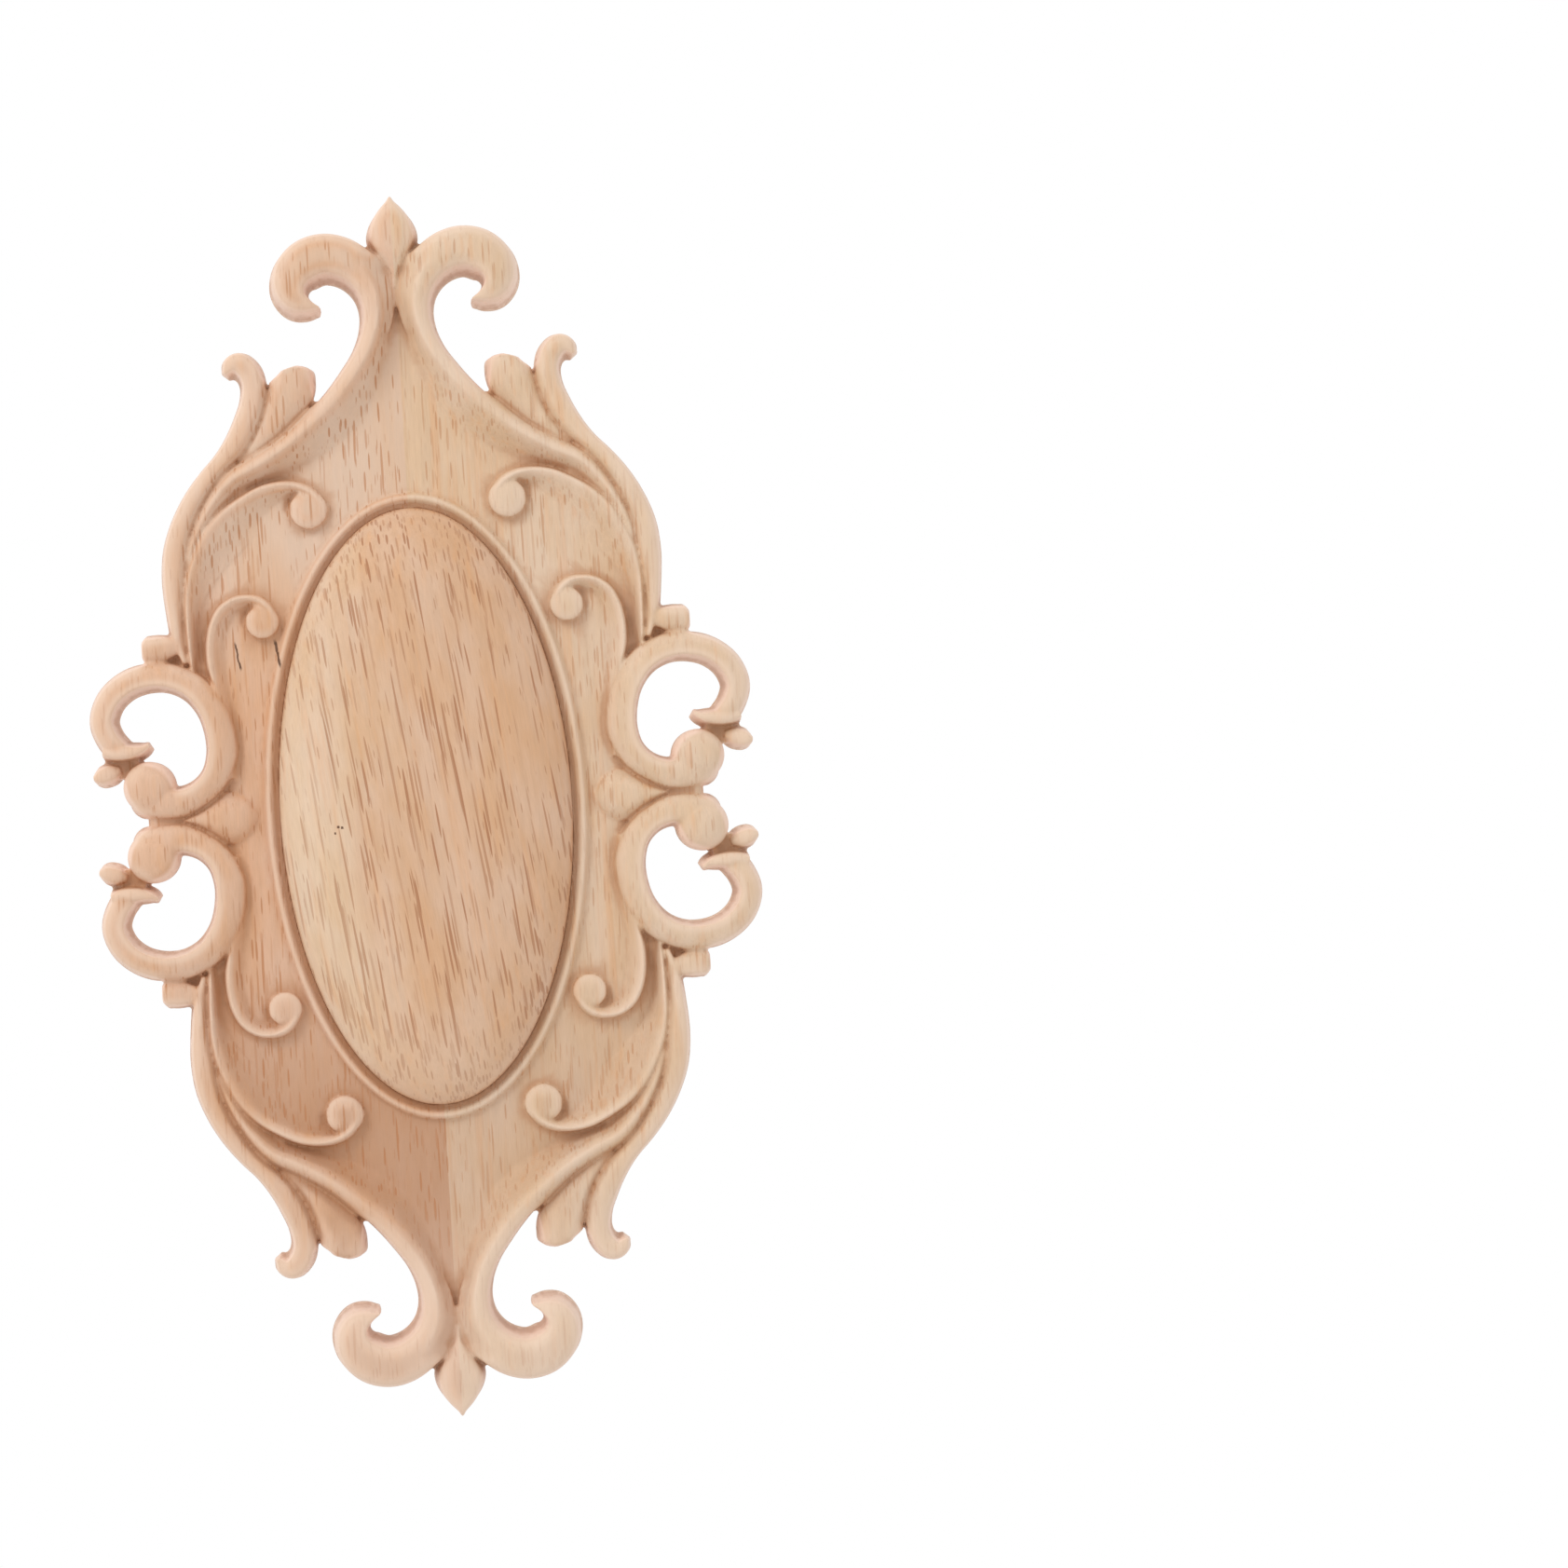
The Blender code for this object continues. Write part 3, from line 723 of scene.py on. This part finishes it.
def carved_frame():
    """The whole carving, joined on a fine grid, cut level at the back and thinned where it is plain."""
    shape = bmesh.new()
    carve_field(shape)
    carve_bead(shape)
    for band in BANDS:
        carve_band(shape, *band)
    for knob in KNOBS:
        carve_knob(shape, *knob)
    bmesh.ops.transform(shape, matrix=UPRIGHT, verts=shape.verts)
    mesh = bpy.data.meshes.new("carving")
    shape.to_mesh(mesh)
    joined = evaluated(mesh, "joining", "REMESH", mode="VOXEL", voxel_size=JOINING_CELL * MM, adaptivity=0.0)
    shape.clear()
    shape.from_mesh(joined)
    geom = shape.verts[:] + shape.edges[:] + shape.faces[:]
    bmesh.ops.bisect_plane(shape, geom=geom, plane_co=(0, 0, 0), plane_no=(0, 1, 0), clear_outer=True)
    bmesh.ops.triangulate(shape, faces=shape.faces)
    shape.to_mesh(joined)
    ratio = FRAME_TRIANGLES / len(joined.polygons)
    thinned = evaluated(joined, "thinning", "DECIMATE", ratio=min(1.0, ratio))
    shape.clear()
    shape.from_mesh(thinned)
    rim = [edge for edge in shape.edges if edge.is_boundary]
    bmesh.ops.triangle_fill(shape, use_beauty=True, use_dissolve=False, edges=rim, normal=(0, 1, 0))
    bmesh.ops.recalc_face_normals(shape, faces=shape.faces)
    shape.to_mesh(thinned)
    shape.free()
    made = bpy.data.objects.new("carved_wood", thinned)
    bpy.context.scene.collection.objects.link(made)
    return made


# The boss: points round it, steps up its dome, how flat the dome is, and the height of a narrow band at
# the top of its edge that keeps the edge crisp.
BOSS_SIDES = 240
DOME_STEPS = 44
DOME_FLATNESS = 2.3
EDGE_BAND = 0.5


def domed_boss():
    """The boss: an oval with an upright edge and a full dome, from ovals one above another."""
    ovals = [(BOSS_INSET, BOSS_BASE), (BOSS_INSET, BOSS_EDGE - EDGE_BAND), (BOSS_INSET, BOSS_EDGE)]
    for i in range(1, DOME_STEPS):
        share = math.sin(math.pi / 2 * i / DOME_STEPS)
        reach = (GROOVE_HALF_WIDTH - BOSS_INSET) * (1 - (1 - share**2) ** (1 / DOME_FLATNESS))
        ovals.append((BOSS_INSET + reach, BOSS_EDGE + (BOSS_CROWN - BOSS_EDGE) * share))
    shape = bmesh.new()
    ring = bmesh.ops.create_circle(shape, segments=BOSS_SIDES, radius=1.0)["verts"]
    inset, up = ovals[0]
    bmesh.ops.scale(shape, vec=(GROOVE_HALF_WIDTH - inset, GROOVE_HALF_LENGTH - inset, 1.0), verts=ring)
    bmesh.ops.translate(shape, vec=(0, 0, up), verts=ring)
    bmesh.ops.contextual_create(shape, geom=list({edge for vert in ring for edge in vert.link_edges}))
    edges = list({edge for vert in ring for edge in vert.link_edges})
    for next_inset, next_up in ovals[1:]:
        grown = bmesh.ops.extrude_edge_only(shape, edges=edges)["geom"]
        ring = [item for item in grown if isinstance(item, bmesh.types.BMVert)]
        edges = [item for item in grown if isinstance(item, bmesh.types.BMEdge)]
        change = (
            (GROOVE_HALF_WIDTH - next_inset) / (GROOVE_HALF_WIDTH - inset),
            (GROOVE_HALF_LENGTH - next_inset) / (GROOVE_HALF_LENGTH - inset),
            1.0,
        )
        bmesh.ops.scale(shape, vec=change, verts=ring)
        bmesh.ops.translate(shape, vec=(0, 0, next_up - up), verts=ring)
        inset, up = next_inset, next_up
    bmesh.ops.contextual_create(shape, geom=edges)
    bmesh.ops.recalc_face_normals(shape, faces=shape.faces)
    bmesh.ops.transform(shape, matrix=UPRIGHT, verts=shape.verts)
    mesh = bpy.data.meshes.new("domed_boss")
    shape.to_mesh(mesh)
    shape.free()
    made = bpy.data.objects.new("domed_boss", mesh)
    bpy.context.scene.collection.objects.link(made)
    return made


def blurred(picture, radius):
    """A picture of heights softened over a radius given in cells."""
    rows, columns = picture.shape
    down = np.fft.fftfreq(rows)[:, None]
    across = np.fft.rfftfreq(columns)[None, :]
    soften = np.exp(-2 * (math.pi * radius) ** 2 * (down**2 + across**2))
    return np.fft.irfft2(np.fft.rfft2(picture) * soften, s=picture.shape)


# The map of heights covers this much to each side of the middle, in cells of this size. Its rays start in
# front of the wood. All are in millimetres.
MAP_HALF_WIDTH = 62
MAP_HALF_LENGTH = 112
MAP_CELL = 0.4
RAYS_START = -40

# Painted shade: hollows show where the wood lies below the mean height within a radius, and are painted
# darker there: radius in millimetres and weight.
PAINTED_SHADE_READINGS = [(0.7, 0.8), (2.2, 0.25)]

# Crests show where the wood rises above the mean height within this radius, and show fully at this rise.
# Both are in millimetres.
# The crests are painted paler: a painted highlight, together with the paler wood that sanding leaves.
CREST_RADIUS = 1.0
CREST_RISE = 0.8

# Painted light on walls: it goes where open air is within this radius, in millimetres, and the surface turns
# to the side.
AIR_RADIUS = 1.6
AIR_WEIGHT = 3.5
WALL_WEIGHT = 1.7

# Points nearer the back than this, in millimetres, are the flat back, which has none of these.
ABOVE_BACK = 0.1


def points_of(mesh):
    """The mesh's points in millimetres."""
    points = np.empty(len(mesh.vertices) * 3, np.float32)
    mesh.vertices.foreach_get("co", points)
    return points.reshape(-1, 3) / MM


def height_map(pieces):
    """The height of the foremost piece in each cell, as seen from the front, and nan where there is none."""
    trees = []
    for piece in pieces:
        faces = [tuple(face.vertices) for face in piece.data.polygons]
        trees.append(BVHTree.FromPolygons(points_of(piece.data).tolist(), faces))
    columns, rows = round(2 * MAP_HALF_WIDTH / MAP_CELL), round(2 * MAP_HALF_LENGTH / MAP_CELL)
    x = (np.arange(columns) + 0.5) * MAP_CELL - MAP_HALF_WIDTH
    z = (np.arange(rows) + 0.5) * MAP_CELL - MAP_HALF_LENGTH
    heights = np.full((rows, columns), np.nan)
    forward = Vector((0, 1, 0))
    for row in range(rows):
        for column in range(columns):
            start = Vector((x[column], RAYS_START, z[row]))
            for tree in trees:
                hit = tree.ray_cast(start, forward)[0]
                if hit is not None:
                    heights[row, column] = np.nanmax([heights[row, column], -hit.y])
    return heights


def signs_of_carving(heights):
    """Maps of the share of hollow, for painted shade, of open air nearby, for painted light on walls, and of
    crest.
    """
    solid = ~np.isnan(heights)
    filled = np.where(solid, heights, 0.0)
    hollow = np.zeros(heights.shape)
    for radius, weight in PAINTED_SHADE_READINGS:
        around = blurred(filled, radius / MAP_CELL)
        hollow += weight * np.clip((around - filled) / radius, 0, 1)
    hollow = blurred(np.where(solid, np.clip(hollow, 0, 1), 0.0), 0.7)
    nearby = CREST_RADIUS / MAP_CELL
    share = np.maximum(blurred(solid.astype(float), nearby), 0.3)
    rise = (filled - blurred(filled, nearby) / share) / CREST_RISE
    crest = np.where(solid, np.clip(rise, 0, 1), 0.0)
    open_air = np.clip((1 - blurred(solid.astype(float), AIR_RADIUS / MAP_CELL)) * AIR_WEIGHT, 0, 1)
    return hollow, open_air, crest


def mark_carving(piece, heights):
    """Gives each point its share of painted shade in hollows, of painted light on cut walls and of crest, for
    the wood to read.
    """
    mesh = piece.data
    points = points_of(mesh)
    normals = np.empty(len(points) * 3, np.float32)
    mesh.vertex_normals.foreach_get("vector", normals)
    facing = np.abs(normals.reshape(-1, 3)[:, 1])
    rows, columns = heights.shape
    across = np.clip((points[:, 0] + MAP_HALF_WIDTH) / MAP_CELL - 0.5, 0, columns - 1.001)
    along = np.clip((points[:, 2] + MAP_HALF_LENGTH) / MAP_CELL - 0.5, 0, rows - 1.001)
    column, row = across.astype(int), along.astype(int)
    right, up = across - column, along - row

    def read(picture):
        lower = picture[row, column] * (1 - right) + picture[row, column + 1] * right
        upper = picture[row + 1, column] * (1 - right) + picture[row + 1, column + 1] * right
        return lower * (1 - up) + upper * up

    hollow, open_air, crest = signs_of_carving(heights)
    # The cut walls' share of painted light, as if light from the pale surroundings fell on them.
    painted_wall_light = np.clip(WALL_WEIGHT * (1 - facing), 0, 1) * read(open_air)
    shares = np.stack([read(hollow), painted_wall_light, read(crest), np.ones(len(points))], axis=1)
    shares[points[:, 1] > -ABOVE_BACK, :3] = 0.0
    layer = mesh.color_attributes.new("carving", "FLOAT_COLOR", "POINT")
    layer.data.foreach_set("color", shares.astype(np.float32).ravel())


# The boss's grain runs this much off the frame's.
BOSS_GRAIN = math.radians(7.5)

# Colours of the raw wood and of painted light and shade: its staves, streaks and tints, its pores, its cut
# walls, its crests, its hollows and its cracks.
LEFT_STAVE = (216, 174, 143)
RIGHT_STAVE = (218, 189, 160)
PALE_EDGE = (221, 192, 162)
HEART = (212, 173, 141)
WARM_STREAK = (219, 166, 122)
LOW_TINT = (176, 130, 98)
HIGH_TINT = (222, 208, 190)
FRAME_PORE = (184, 124, 82)
BOSS_PORE = (164, 108, 74)
PALE_FOOT = (238, 214, 194)
PALE_LOW_END = (230, 200, 172)
# Painted light: the cut walls are painted paler, as light from the pale surroundings would make them.
PAINTED_WALL_LIGHT = (247, 219, 202)
# A painted highlight on the crests, together with the paler wood that sanding leaves there.
SANDED_AND_HIGHLIT_CREST = (235, 209, 187)
# Painted shade in the hollows, together with the brown of torn fibre there.
TORN_FIBRE_AND_SHADE = (186, 136, 99)
DEEP_FIBRE_AND_SHADE = (160, 112, 76)
CRACK = (98, 68, 50)


def linear(red, green, blue):
    """A colour as light, from its values on the scale of 255 that screens use."""
    shares = [value / 255 for value in (red, green, blue)]
    return (*[s / 12.92 if s <= 0.04045 else ((s + 0.055) / 1.055) ** 2.4 for s in shares], 1.0)


class Wood:
    """Builds one raw wood material, node by node."""

    def __init__(self, name):
        self.material = bpy.data.materials.new(name)
        self.material.use_nodes = True
        self.nodes = self.material.node_tree.nodes
        self.links = self.material.node_tree.links
        self.shader = self.nodes["Principled BSDF"]

    def node(self, kind, inputs=None, **settings):
        made = self.nodes.new(kind)
        for key, value in settings.items():
            setattr(made, key, value)
        for key, value in (inputs or {}).items():
            if isinstance(value, bpy.types.NodeSocket):
                self.links.new(value, made.inputs[key])
            else:
                made.inputs[key].default_value = value
        return made

    def math(self, operation, first, second=0.0):
        made = self.node("ShaderNodeMath", {0: first, 1: second}, operation=operation)
        return made.outputs[0]

    def between(self, value, low, high, out_low=0.0, out_high=1.0):
        """Goes smoothly from out_low to out_high while the value goes from low to high."""
        made = self.node(
            "ShaderNodeMapRange",
            {"Value": value, "From Min": low, "From Max": high, "To Min": out_low, "To Max": out_high},
            interpolation_type="SMOOTHSTEP",
        )
        return made.outputs[0]

    def mix(self, share, first, second, blend="MIX"):
        made = self.node("ShaderNodeMix", data_type="RGBA", blend_type=blend)
        for socket, value in ((made.inputs[0], share), (made.inputs[6], first), (made.inputs[7], second)):
            if isinstance(value, bpy.types.NodeSocket):
                self.links.new(value, socket)
            else:
                socket.default_value = value
        return made.outputs[2]

    def stretched(self, scale, place=(0, 0, 0), turn=0.0):
        """Object coordinates, scaled so that the given sizes in millimetres become one."""
        where = self.node("ShaderNodeTexCoord").outputs["Object"]
        sizes = [1 / (MM * s) for s in scale]
        turned = self.node(
            "ShaderNodeMapping", {"Vector": where, "Rotation": (0, turn, 0)}, vector_type="POINT"
        )
        return self.node(
            "ShaderNodeMapping", {"Vector": turned.outputs[0], "Location": place, "Scale": sizes}
        ).outputs[0]

    def noise(self, scale, place=(0, 0, 0), detail=2.0, turn=0.0, rough=0.5):
        where = self.stretched(scale, place, turn)
        made = self.node(
            "ShaderNodeTexNoise",
            {"Vector": where, "Scale": 1.0, "Detail": detail, "Roughness": rough},
        )
        return made.outputs["Fac"]

    def pores(self, scale, place, width, turn):
        """Long thin vessels along the grain: 1 in a pore and 0 beside it, each with its own strength."""
        wander = self.node(
            "ShaderNodeTexNoise",
            {"Vector": self.stretched((14, 14, 30), place, turn), "Scale": 1.0, "Detail": 1.0},
        )
        bent = self.node(
            "ShaderNodeVectorMath",
            {0: wander.outputs["Color"], 1: (1.6, 1.6, 0.0)},
            operation="MULTIPLY",
        )
        where = self.node(
            "ShaderNodeVectorMath",
            {0: self.stretched(scale, place, turn), 1: bent.outputs[0]},
            operation="ADD",
        )
        made = self.node(
            "ShaderNodeTexVoronoi",
            {"Vector": where.outputs[0], "Scale": 1.0, "Randomness": 1.0},
            feature="F1",
        )
        edge = self.math("SUBTRACT", width, made.outputs["Distance"])
        own = self.node("ShaderNodeSeparateColor", {"Color": made.outputs["Color"]})
        strength = self.between(own.outputs["Red"], 0.0, 1.0, 0.35, 1.0)
        return self.math("MULTIPLY", self.between(edge, 0.0, 0.06), strength)

    def mark(self, x, z, lean, length, width):
        """A short dark mark in the face: 1 along its middle and 0 beside it. Sizes are in millimetres."""
        where = self.node("ShaderNodeTexCoord").outputs["Object"]
        moved = self.node("ShaderNodeMapping", {"Vector": where, "Location": (-x * MM, 0, -z * MM)})
        turned = self.node(
            "ShaderNodeMapping",
            {"Vector": moved.outputs[0], "Rotation": (0, math.radians(lean), 0), "Scale": (1 / MM,) * 3},
        )
        apart = self.node("ShaderNodeSeparateXYZ", {"Vector": turned.outputs[0]})
        wander = self.math("MULTIPLY", self.math("SUBTRACT", self.noise((0.9, 0.9, 1.3)), 0.5), 0.5)
        aside = self.math("ABSOLUTE", self.math("ADD", apart.outputs["X"], wander))
        along = self.math("ABSOLUTE", apart.outputs["Z"])
        beside = self.between(aside, 0.3 * width, 0.7 * width, 1.0, 0.0)
        return self.math("MULTIPLY", beside, self.between(along, 0.35 * length, 0.55 * length, 1.0, 0.0))


def raw_rubberwood(name, colours, turn, seam, marks):
    """Raw sanded rubberwood: the frame's with a seam between its staves, or the boss's with none.

    The colours are the left and right staves', or the pale edge's and the heart's. The turn is the grain's.
    """
    wood = Wood(name)
    left, right = colours
    where = wood.node("ShaderNodeTexCoord").outputs["Object"]
    apart = wood.node("ShaderNodeSeparateXYZ", {"Vector": where})
    x = wood.math("MULTIPLY", apart.outputs["X"], 1 / MM)

    # The two colours, parted by a fine seam or flowing into each other.
    if seam:
        wander = wood.noise((6, 6, 30), (3, 1, 2), 1.0)
        edge = wood.math("ADD", x, wood.math("MULTIPLY", wood.math("SUBTRACT", wander, 0.5), 0.25))
        side = wood.between(edge, -0.06, 0.06)
    else:
        wander = wood.noise((9, 9, 45), (3, 1, 2), 2.0)
        edge = wood.math("ADD", x, wood.math("MULTIPLY", wood.math("SUBTRACT", wander, 0.5), 26.0))
        side = wood.between(edge, -24.0, -3.0)
    colour = wood.mix(side, left, right)
    tint = wood.between(wood.noise((1.5, 1.5, 45), (8, 3, 2), 2.0, turn), 0.52, 0.72, 0.0, 0.35)
    colour = wood.mix(tint, colour, linear(*WARM_STREAK))

    # Light and dark along the grain: broad clouds, streaks and fine fibre.
    clouds = wood.noise((9, 9, 22), (1, 4, 0), 3.0, turn, 0.6)
    streaks = wood.noise((1.1, 1.1, 30), (5, 2, 7), 3.0, turn, 0.6)
    fine = wood.noise((0.24, 0.24, 3.2), (2, 8, 1), 2.0, turn, 0.6)
    tone = wood.between(clouds, 0.3, 0.7, 0.975, 1.025)
    tone = wood.math("ADD", tone, wood.between(streaks, 0.25, 0.75, -0.035, 0.035))
    tone = wood.math("ADD", tone, wood.between(fine, 0.2, 0.8, -0.045, 0.045))
    richness = wood.between(clouds, 0.3, 0.7, 1.1, 0.9)
    toned = wood.node(
        "ShaderNodeHueSaturation",
        {"Color": colour, "Value": tone, "Saturation": richness, "Hue": 0.5},
    )
    colour = toned.outputs[0]

    # Open pores of three lengths. The boss's are longer, and its short ones widen towards its ends.
    patches = wood.noise((7, 7, 26), (4, 4, 4), 1.0, turn)
    long_pore, middling_pore = (20.0, 8.0) if seam else (38.0, 15.0)
    narrowest, widest = (0.2, 0.3) if seam else (0.24, 0.34)
    width = wood.between(patches, 0.3, 0.65, narrowest, widest)
    long = wood.pores((0.8, 2.2, long_pore), (0, 0, 0), width, turn)
    middling = wood.pores((0.75, 2.2, middling_pore), (7, 3, 5), width, turn)
    slender = wood.between(patches, 0.3, 0.7, 0.15, 0.24)
    if not seam:
        from_middle = wood.math("ABSOLUTE", apart.outputs["Z"])
        slender = wood.math("ADD", slender, wood.between(from_middle, 22 * MM, 50 * MM, 0.0, 0.08))
    short = wood.pores((0.62, 2.0, 6.5), (2, 9, 4), slender, turn)
    short = wood.math("MULTIPLY", short, 0.75)
    open_grain = wood.math("MAXIMUM", long, wood.math("MAXIMUM", middling, short))
    left_depth, right_depth = (0.75, 0.5) if seam else (0.55, 0.75)
    depth = wood.between(side, 0.0, 1.0, left_depth, right_depth)

    # The frame's pores are fainter on its crests. Its flats are darker lower down, most of all on the left,
    # and paler at the upper left.
    carving = wood.node("ShaderNodeAttribute", attribute_name="carving", attribute_type="GEOMETRY")
    parts = wood.node("ShaderNodeSeparateColor", {"Color": carving.outputs["Color"]})
    if seam:
        depth = wood.math("MULTIPLY", depth, wood.between(parts.outputs["Blue"], 0.0, 0.5, 1.0, 0.45))
        flat = wood.between(parts.outputs["Blue"], 0.0, 0.3, 1.0, 0.2)
        low = wood.between(apart.outputs["Z"], -60 * MM, -15 * MM, 1.0, 0.0)
        low = wood.math("MULTIPLY", low, wood.between(side, 0.0, 1.0, 0.62, 0.3))
        colour = wood.mix(wood.math("MULTIPLY", flat, low), colour, linear(*LOW_TINT))
        high = wood.between(apart.outputs["Z"], 15 * MM, 60 * MM, 0.0, 0.4)
        high = wood.math("MULTIPLY", high, wood.between(side, 0.0, 1.0, 1.0, 0.0))
        colour = wood.mix(wood.math("MULTIPLY", flat, high), colour, linear(*HIGH_TINT))
    pore_colour = linear(*(FRAME_PORE if seam else BOSS_PORE))
    colour = wood.mix(wood.math("MULTIPLY", open_grain, depth), colour, pore_colour)

    # The lower crest and the lower end of the boss are paler.
    foot = wood.between(apart.outputs["Z"], -90 * MM, -68 * MM, 0.4, 0.0)
    colour = wood.mix(foot, colour, linear(*PALE_FOOT))
    if not seam:
        low_end = wood.between(apart.outputs["Z"], -52 * MM, -30 * MM, 0.3, 0.0)
        colour = wood.mix(low_end, colour, linear(*PALE_LOW_END))

    # Painted light and shade: pale cut walls, pale crests that are also sanded, and brown hollows that also
    # hold torn fibre.
    # Painted light on the cut walls.
    painted_wall_light = wood.between(parts.outputs["Green"], 0.2, 0.75, 0.0, 0.75)
    colour = wood.mix(painted_wall_light, colour, linear(*PAINTED_WALL_LIGHT))
    # A painted highlight on the crests, together with their sanded pallor.
    crest = wood.between(parts.outputs["Blue"], 0.1, 0.9, 0.0, 0.5)
    colour = wood.mix(crest, colour, linear(*SANDED_AND_HIGHLIT_CREST))
    # Painted shade: the hollows are painted brown, together with their torn fibre.
    ragged = wood.noise((1.4, 1.4, 1.4), (9, 9, 9), 3.0)
    ragged = wood.math("MULTIPLY", wood.math("SUBTRACT", ragged, 0.5), 0.2)
    hollow = wood.math("ADD", parts.outputs["Red"], ragged)
    colour = wood.mix(wood.between(hollow, 0.14, 0.5, 0.0, 0.58), colour, linear(*TORN_FIBRE_AND_SHADE))
    colour = wood.mix(wood.between(hollow, 0.5, 1.0, 0.0, 0.5), colour, linear(*DEEP_FIBRE_AND_SHADE))

    # Cracks or specks, on the front alone.
    dents = 0.0
    for mark in marks:
        dents = wood.math("MAXIMUM", wood.mark(*mark), dents)
    front = wood.between(apart.outputs["Y"], -4.0 * MM, -3.0 * MM, 1.0, 0.0)
    dents = wood.math("MULTIPLY", dents, front)
    colour = wood.mix(wood.math("MULTIPLY", dents, 0.95), colour, linear(*CRACK))

    # The pores are rougher than the sanded face, and the pores and marks lie a little below it.
    wood.links.new(colour, wood.shader.inputs["Base Color"])
    wood.shader.inputs["Specular IOR Level"].default_value = 0.3
    rough = wood.between(open_grain, 0.0, 1.0, 0.58, 0.8)
    wood.links.new(rough, wood.shader.inputs["Roughness"])
    sanded = wood.noise((0.35, 0.35, 0.9), (6, 1, 3), 3.0)
    sunk = wood.math("MAXIMUM", open_grain, dents)
    relief = wood.math("SUBTRACT", wood.math("MULTIPLY", sanded, 0.35), sunk)
    bump = wood.node("ShaderNodeBump", {"Height": relief, "Strength": 0.5, "Distance": 0.08 * MM})
    wood.links.new(bump.outputs[0], wood.shader.inputs["Normal"])
    return wood.material


# Edges that turn by more than this are shaded as sharp.
SHARP_FROM = math.radians(50.0)


def dress(piece, node, material):
    """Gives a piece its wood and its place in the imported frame."""
    piece.data.materials.append(material)
    piece.data.shade_smooth()
    piece.data.set_sharp_from_angle(angle=SHARP_FROM)
    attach(piece, "root")
    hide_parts(node)


def area_light(name, place, aim, size, power, colour):
    data = bpy.data.lights.new(name, "AREA")
    data.shape = "DISK"
    data.size = size
    data.energy = power
    data.color = colour
    light = bpy.data.objects.new(name, data)
    light.location = place
    light.rotation_euler = (Vector(aim) - Vector(place)).to_track_quat("-Z", "Y").to_euler()
    bpy.context.scene.collection.objects.link(light)


# The floor's half width and middle, and the lamp's place and size, in metres.
FLOOR_REACH = 0.28
FLOOR_MIDDLE = (0, -0.04, -0.2)
FLOOR_COLOUR = (0.82, 0.82, 0.82, 1)
LAMP_PLACE = (-0.6, -0.7, 0.7)
LAMP_SIZE = 0.45
LAMP_COLOUR = (1, 0.985, 0.96)


def studio():
    """A pale floor below the applique, white surroundings and one large lamp at the upper left."""
    floor = bmesh.new()
    bmesh.ops.create_grid(floor, x_segments=1, y_segments=1, size=FLOOR_REACH)
    bmesh.ops.translate(floor, vec=FLOOR_MIDDLE, verts=floor.verts)
    mesh = bpy.data.meshes.new("floor")
    floor.to_mesh(mesh)
    floor.free()
    ground = bpy.data.objects.new("floor", mesh)
    bpy.context.scene.collection.objects.link(ground)
    pale = bpy.data.materials.new("pale_floor")
    pale.use_nodes = True
    shader = pale.node_tree.nodes["Principled BSDF"]
    shader.inputs["Base Color"].default_value = FLOOR_COLOUR
    shader.inputs["Roughness"].default_value = 0.9
    mesh.materials.append(pale)

    world = bpy.data.worlds.new("studio")
    world.use_nodes = True
    nodes, links = world.node_tree.nodes, world.node_tree.links
    seen = nodes.new("ShaderNodeLightPath")
    strength = nodes.new("ShaderNodeMapRange")
    strength.inputs["To Min"].default_value = AMBIENT
    strength.inputs["To Max"].default_value = 1.0
    links.new(seen.outputs["Is Camera Ray"], strength.inputs["Value"])
    links.new(strength.outputs[0], nodes["Background"].inputs["Strength"])
    nodes["Background"].inputs["Color"].default_value = (1, 1, 1, 1)
    bpy.context.scene.world = world
    area_light("key", LAMP_PLACE, (0, 0, 0), LAMP_SIZE, KEY_POWER, LAMP_COLOUR)
    bpy.context.scene.view_settings.view_transform = "Standard"


# The photograph, in its own pixels: its size, the applique's length, middle and lean.
PHOTO_SIZE = 1683
APPLIQUE_IN_PHOTO = 1312.4
APPLIQUE_MIDDLE = (455.5, 865.4)
APPLIQUE_LEAN = math.radians(3.45)

# In metres: the applique's length, the camera's distance from its back, how far the camera stands to the
# right, and the height of the carved face.
APPLIQUE_LENGTH = 0.22
CAMERA_DISTANCE = 0.75
CAMERA_ASIDE = -0.0003
CARVED_FACE = 0.008


def camera():
    """Looks straight at the applique, which the photograph shows left of its middle and leaning."""
    frame_width = PHOTO_SIZE / APPLIQUE_IN_PHOTO * APPLIQUE_LENGTH
    data = bpy.data.cameras.new("camera")
    data.sensor_width = 36.0
    data.lens = 36.0 * (CAMERA_DISTANCE - CARVED_FACE) / frame_width
    made = bpy.data.objects.new("camera", data)
    made.location = (CAMERA_ASIDE, -CAMERA_DISTANCE, 0)
    upright = Matrix.Rotation(math.radians(90), 3, "X")
    made.rotation_euler = (upright @ Matrix.Rotation(-APPLIQUE_LEAN, 3, "Z")).to_euler()
    across, down = APPLIQUE_MIDDLE
    data.shift_x = (PHOTO_SIZE / 2 - across) / PHOTO_SIZE
    data.shift_y = (down - PHOTO_SIZE / 2) / PHOTO_SIZE
    bpy.context.scene.collection.objects.link(made)
    bpy.context.scene.camera = made


frame_piece = carved_frame()
boss_piece = domed_boss()
heights = height_map([frame_piece, boss_piece])
mark_carving(frame_piece, heights)
mark_carving(boss_piece, heights)
dress(
    frame_piece,
    "carved_frame",
    raw_rubberwood("two_staves", (linear(*LEFT_STAVE), linear(*RIGHT_STAVE)), 0.0, True, CRACKS),
)
dress(
    boss_piece,
    "oval_boss",
    raw_rubberwood("oval_stock", (linear(*PALE_EDGE), linear(*HEART)), BOSS_GRAIN, False, SPECKS),
)
studio()
camera()
